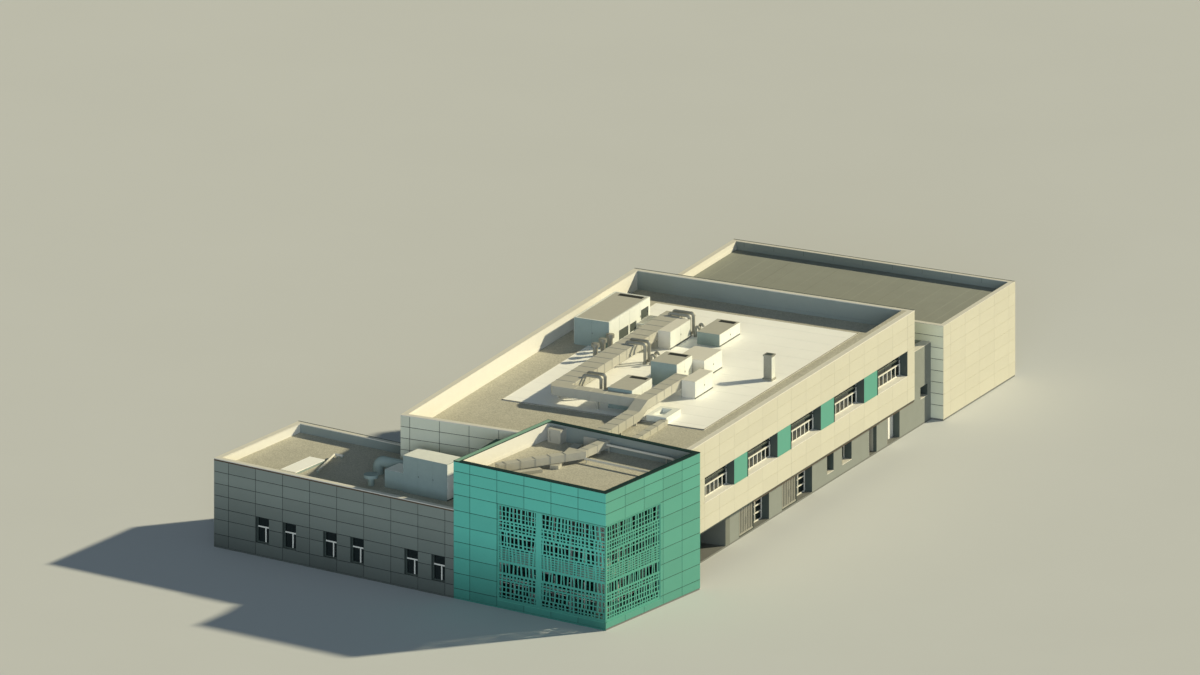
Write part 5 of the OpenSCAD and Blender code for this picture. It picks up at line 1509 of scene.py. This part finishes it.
class SCHOOL_OT_ducts(Operator):
    """Flanges of the box ducts and collars of the round pipes on the roofs"""

    bl_idname = "school.ducts"
    bl_label = "Ducts and pipes"

    # Plan of the raised ducts from the middle of the main block's front wall, as in the CAD model: two
    # corners, the level and the axis along which each runs
    deck_ducts = (((-2.4, 5.9), (-1.66, 15.129), "raised", 1), ((-1.66, 5.465), (1.09, 5.9), "raised", 0),
                  ((1.09, 5.9), (1.59, 8.73), "raised", 1), ((1.09, 1.0), (1.59, 4.8), "low", 1),
                  ((2.3, 1.0), (2.55, 5.12), "shallow", 1))
    heights = {"raised": (0.31, 0.66), "low": (0.07, 0.42), "shallow": (0.0, 0.16)}
    # Corner roof: the entry duct and the slanting run that leaves it, which starts inside it
    entry = ((-4.115, 4.0), (-3.785, 5.67))
    entry_heights = (0.15, 0.43)
    slant = (Vector((-3.868, 4.165, 0)), Vector((-5.49, 1.072, 0)))
    slant_width = 0.32
    slant_start = 0.5
    # Thin pipes beside them: where each runs along X, its Y and height, and the bend of the upper one
    thin_pipes = [(-3.78, -1.11, 5.48, 0.3, 0.5), (-3.78, -0.88, 4.08, 0.15, 0.0)]
    thin_radius = 0.042
    bend_steps = 8
    # The wing's roof: a flat slab with a light lid, and the pipes behind it
    slab = (Vector((-14.8, 0.9, 0.1)), Vector((-14.16, 2.7, 0.1)))
    wing_pipes = [((-13.57, 1.427), (-14.2, 3.357)), ((-14.19, 3.407), (-13.84, 3.407))]
    wing_pipe_z = 0.12
    # Round pipes: those longer than this bend over, the radius of their bends and the grip of a collar
    bent_length = 0.4
    bend = 0.08
    grip = 8 * MM
    half_collar = 12 * MM
    # Stacks narrower than this are round, with a foot and a mouth collar of these radii
    round_stack = 0.32
    foot_radius, mouth_radius = 0.13, 0.1
    sides = 24

    def duct_flanges(self, step, corner):
        """Flanges of the box ducts on the deck and on the corner roof."""
        piece = Piece("duct_flanges")
        deck = Matrix.Translation((0, FRONT_Y, DECK_HIGH.z))
        for near, far, level, axis in self.deck_ducts:
            z0, z1 = self.heights[level]
            flanges(piece, deck, (*near, z0), (*far, z1), axis, step)
        z0, z1 = self.entry_heights
        near, far = self.entry
        flanges(piece, corner, (*near, z0), (*far, z1), 1, step)
        start, end = self.slant
        turn = math.atan2(end.y - start.y, end.x - start.x)
        slanting = corner @ Matrix.Translation(start) @ Matrix.Rotation(turn, 4, "Z")
        half = self.slant_width / 2
        flanges(piece, slanting, (self.slant_start, -half, z0), ((end - start).length, half, z1), 0, step)
        piece.build(edge=2 * MM)

    def pipe_jackets(self, corner):
        """Light jackets on the thin pipes, and the lid of the slab on the wing."""
        piece = Piece("pipe_jackets")
        radius = self.thin_radius + 3 * MM
        for x0, x1, y, z, bend in self.thin_pipes:
            path = [(x0, y, z), (x1, y, z)]
            if bend:
                quarter = (math.pi / 2 * k / self.bend_steps for k in range(1, self.bend_steps + 1))
                path += [(x1 + bend * math.sin(a), y - bend + bend * math.cos(a), z) for a in quarter]
            piece.tube(path, radius, "coping_light", place=corner)
        wing = TURNED @ Matrix.Translation((0, 0, WING_ROOF))
        for a, b in self.wing_pipes:
            piece.tube([(*a, self.wing_pipe_z), (*b, self.wing_pipe_z)], radius, "coping_light", place=wing)
        low, high = self.slab
        over = 10 * MM
        piece.box(low - Vector((over, over, 20 * MM)), high + Vector((over, over, 12 * MM)), "membrane",
                  place=wing)
        piece.build()

    def upright_collar(self, piece, x, y, z, height, radius):
        """A round collar whose axis is upright."""
        piece.tube([(x, y, z), (x, y, z + height)], radius, "zinc", sides=self.sides)

    def pipe_collars(self):
        """Collars at the feet and at the bends of the pipes on the deck, and on the stacks."""
        piece = Piece("pipe_collars")
        half = self.half_collar
        for low, high in solids_in("bent_ducts"):
            y, radius = (low.y + high.y) / 2, (high.y - low.y) / 2
            is_long = high.x - low.x > self.bent_length
            foot = high.x - radius if is_long else low.x + radius
            for z, height, grow in ((DECK_HIGH.z, 0.05, 1.5), (DECK_HIGH.z + 0.05, 0.03, 1.2)):
                self.upright_collar(piece, foot, y, z, height, radius * grow)
            if not is_long:
                continue
            top, wide = high.z - radius, radius + self.grip
            first = low.x + radius + self.bend
            for x in repeated(first, (high.x - radius - self.bend - first) / 2, low.x + 0.1, high.x - 0.1):
                piece.tube([(x - half, y, top), (x + half, y, top)], wide, "zinc", sides=self.sides)
            for x in (low.x + radius, high.x - radius):
                self.upright_collar(piece, x, y, top - self.bend - half, 2 * half, wide)
        for low, high in solids_in("roof_stacks"):
            centre = (low + high) / 2
            if high.x - low.x < self.round_stack:
                self.upright_collar(piece, centre.x, centre.y, low.z, 60 * MM, self.foot_radius)
                self.upright_collar(piece, centre.x, centre.y, high.z, 20 * MM, self.mouth_radius)
            else:
                over = 10 * MM
                piece.box((low.x - over, low.y - over, low.z),
                          (high.x + over, high.y + over, low.z + 80 * MM), "zinc")
        piece.build(edge=1 * MM)

    def execute(self, context):
        corner = TURNED @ Matrix.Translation((0, 0, CORNER_ROOF))
        self.duct_flanges(context.scene.school_sizes.flange_step, corner)
        self.pipe_jackets(corner)
        self.pipe_collars()
        return {"FINISHED"}


class SCHOOL_OT_door_hardware(Operator):
    """Pull bars, rails, dark slats and hinge leaves, each riding on its own door"""

    bl_idname = "school.door_hardware"
    bl_label = "Door hardware"

    leaves = ("garden_leaf_1", "garden_leaf_2", "garden_leaf_3", "garden_leaf_4", "side_leaf", "end_leaf")
    # Hung on their far edge. All the others hang on the near one
    far_hung = ("garden_leaf_2", "garden_leaf_4")
    # The leaves' pivots make their boxes taller than the leaves, by this much at the head
    pivot = 43 * MM
    foot_gap = 28 * MM
    # Pull bar: foot, top, distance from the leaf and from its free edge, and its brackets
    pull_foot, pull_top = 0.42, 0.68
    pull_out = 22 * MM
    pull_edge = 40 * MM
    brackets = (0.45, 0.65)
    # Dark slats of the garden leaves: first, step and width
    slat_first, slat_step, slat_width = 0.1, 0.132, 30 * MM

    def execute(self, context):
        for leaf in self.leaves:
            low, high = corners_in(leaf, WORLD)
            is_far = leaf in self.far_hung
            free, heel, inward = (low.y, high.y, 1) if is_far else (high.y, low.y, -1)
            face = high.x
            foot, head = GROUND + self.foot_gap, high.z - self.pivot
            piece = Piece(leaf + "_hardware")
            out, y = face + self.pull_out, free + inward * self.pull_edge
            piece.tube([(out, y, self.pull_foot), (out, y, self.pull_top)], 7 * MM, "zinc", sides=14)
            for z in self.brackets:
                piece.tube([(face - 6 * MM, y, z), (out, y, z)], 5 * MM, "zinc", sides=10)
            if leaf.startswith("garden"):
                for slat in repeated(low.y + self.slat_first, self.slat_step, low.y, high.y - 50 * MM):
                    piece.box((face - 6 * MM, slat, foot + 75 * MM),
                              (face + 2 * MM, slat + self.slat_width, head - 40 * MM), "joint_backing")
            # Rail across the foot and rail across the head
            a, b = sorted((free + inward * 6 * MM, heel - inward * 6 * MM))
            for z0, z1 in ((foot + 6 * MM, foot + 70 * MM), (head - 36 * MM, head - 6 * MM)):
                piece.box((face - 5 * MM, a, z0), (face + 3 * MM, b, z1),
                          "door_white" if leaf == "end_leaf" else "door_slats")
            # Edges of the hinge leaves
            a, b = sorted((heel, heel - inward * MM))
            for z in (foot + 0.12, head - 0.2):
                piece.box((face - 4 * MM, a, z), (face + 2 * MM, b, z + 60 * MM), "zinc")
            piece.build(body=leaf)
        return {"FINISHED"}


class SCHOOL_OT_stage(Operator):
    """Pale floor, soft sun and sky, and the camera at the photograph's viewing angle"""

    bl_idname = "school.stage"
    bl_label = "Stage"

    floor_size = 400.0
    floor_colour = "c5c8cb"
    # Lights: where each comes from, its strength, its spread in degrees and its colour. The sun stands
    # beyond the street side and rather low, and the soft fill reaches the shaded fronts
    lights = (("sun", Vector((1.33, 1.33, 1.0)), 4.85, 2, "fff3cd"),
              ("fill", Vector((0.4, -1.0, 0.12)), 1.6, 30, "e4f2ff"))
    sky_colour = "daf3ff"
    sky_strength = 0.15

    def add_floor(self, scene):
        """A plain pale floor."""
        mesh = bpy.data.meshes.new("floor")
        half = self.floor_size / 2
        mesh.from_pydata([(-half, -half, 0), (half, -half, 0), (half, half, 0), (-half, half, 0)], [],
                         [(0, 1, 2, 3)])
        floor = bpy.data.objects.new("floor", mesh)
        scene.collection.objects.link(floor)
        tree, shader, place = new_finish("floor_screed", roughness=0.9)
        clouds = add_node(tree, "ShaderNodeTexNoise",
                          {"Vector": place, "Scale": per_metre(6000), "Detail": 3.0})
        varied(tree, shader, linear(self.floor_colour), [(clouds.outputs["Fac"], 0.5, 0.04)])
        mesh.materials.append(bpy.data.materials["floor_screed"])

    def add_lights(self, scene):
        """The two lights, and the sky as a faint even light."""
        for name, towards, energy, spread, code in self.lights:
            light = bpy.data.lights.new(name, "SUN")
            light.energy = energy
            light.angle = math.radians(spread)
            light.color = linear(code)
            lamp = bpy.data.objects.new(name, light)
            lamp.rotation_euler = towards.to_track_quat("Z", "Y").to_euler()
            scene.collection.objects.link(lamp)
        world = bpy.data.worlds.new("studio_sky")
        world.use_nodes = True
        sky = world.node_tree.nodes["Background"]
        sky.inputs["Color"].default_value = (*linear(self.sky_colour), 1.0)
        sky.inputs["Strength"].default_value = self.sky_strength
        scene.world = world
        # Plain view, so that the cream and the turquoise keep their colours in the sun
        scene.view_settings.view_transform = "Standard"

    def add_camera(self, scene):
        """A parallel view from where the photograph was taken."""
        towards = Vector((math.sin(VIEW_AZIMUTH) * math.cos(VIEW_ELEVATION),
                          -math.cos(VIEW_AZIMUTH) * math.cos(VIEW_ELEVATION), math.sin(VIEW_ELEVATION)))
        view = bpy.data.cameras.new("camera")
        view.type = "ORTHO"
        view.ortho_scale = PHOTO_WIDTH / PHOTO_PIXELS_PER_METRE
        view.clip_end = 3 * VIEW_DISTANCE
        camera = bpy.data.objects.new("camera", view)
        camera.location = VIEW_CENTRE + VIEW_DISTANCE * towards
        camera.rotation_euler = towards.to_track_quat("Z", "Y").to_euler()
        scene.collection.objects.link(camera)
        scene.camera = camera

    def execute(self, context):
        self.add_floor(context.scene)
        self.add_lights(context.scene)
        self.add_camera(context.scene)
        return {"FINISHED"}


OPERATORS = (
    SCHOOL_OT_finishes,
    SCHOOL_OT_corner_cladding,
    SCHOOL_OT_wing_cladding,
    SCHOOL_OT_main_cladding,
    SCHOOL_OT_street_facade,
    SCHOOL_OT_window_bars,
    SCHOOL_OT_street_level,
    SCHOOL_OT_screens,
    SCHOOL_OT_roof_edges,
    SCHOOL_OT_air_units,
    SCHOOL_OT_ducts,
    SCHOOL_OT_door_hardware,
    SCHOOL_OT_stage,
)


class SCHOOL_PT_dressing(Panel):
    """Lists the groups of pieces, the sizes and the colours"""

    bl_idname = "SCHOOL_PT_dressing"
    bl_label = "School building"
    bl_space_type = "VIEW_3D"
    bl_region_type = "UI"
    bl_category = "School"

    def draw(self, context):
        for operator in OPERATORS:
            self.layout.operator(operator.bl_idname)
        for group in (context.scene.school_sizes, context.scene.school_colours):
            column = self.layout.column(align=True)
            for name in group.__annotations__:
                column.prop(group, name)


CLASSES = (SchoolColours, SchoolSizes, *OPERATORS, SCHOOL_PT_dressing)


def register():
    """Registers the classes and hangs the settings on the scene."""
    for item in CLASSES:
        bpy.utils.register_class(item)
    bpy.types.Scene.school_colours = PointerProperty(type=SchoolColours)
    bpy.types.Scene.school_sizes = PointerProperty(type=SchoolSizes)


def unregister():
    """Takes the settings and the classes away again."""
    del bpy.types.Scene.school_sizes
    del bpy.types.Scene.school_colours
    for item in reversed(CLASSES):
        bpy.utils.unregister_class(item)


def main():
    """Dresses the whole building."""
    register()
    for operator in OPERATORS:
        group, name = operator.bl_idname.split(".")
        getattr(getattr(bpy.ops, group), name)()


if __name__ == "__main__":
    main()
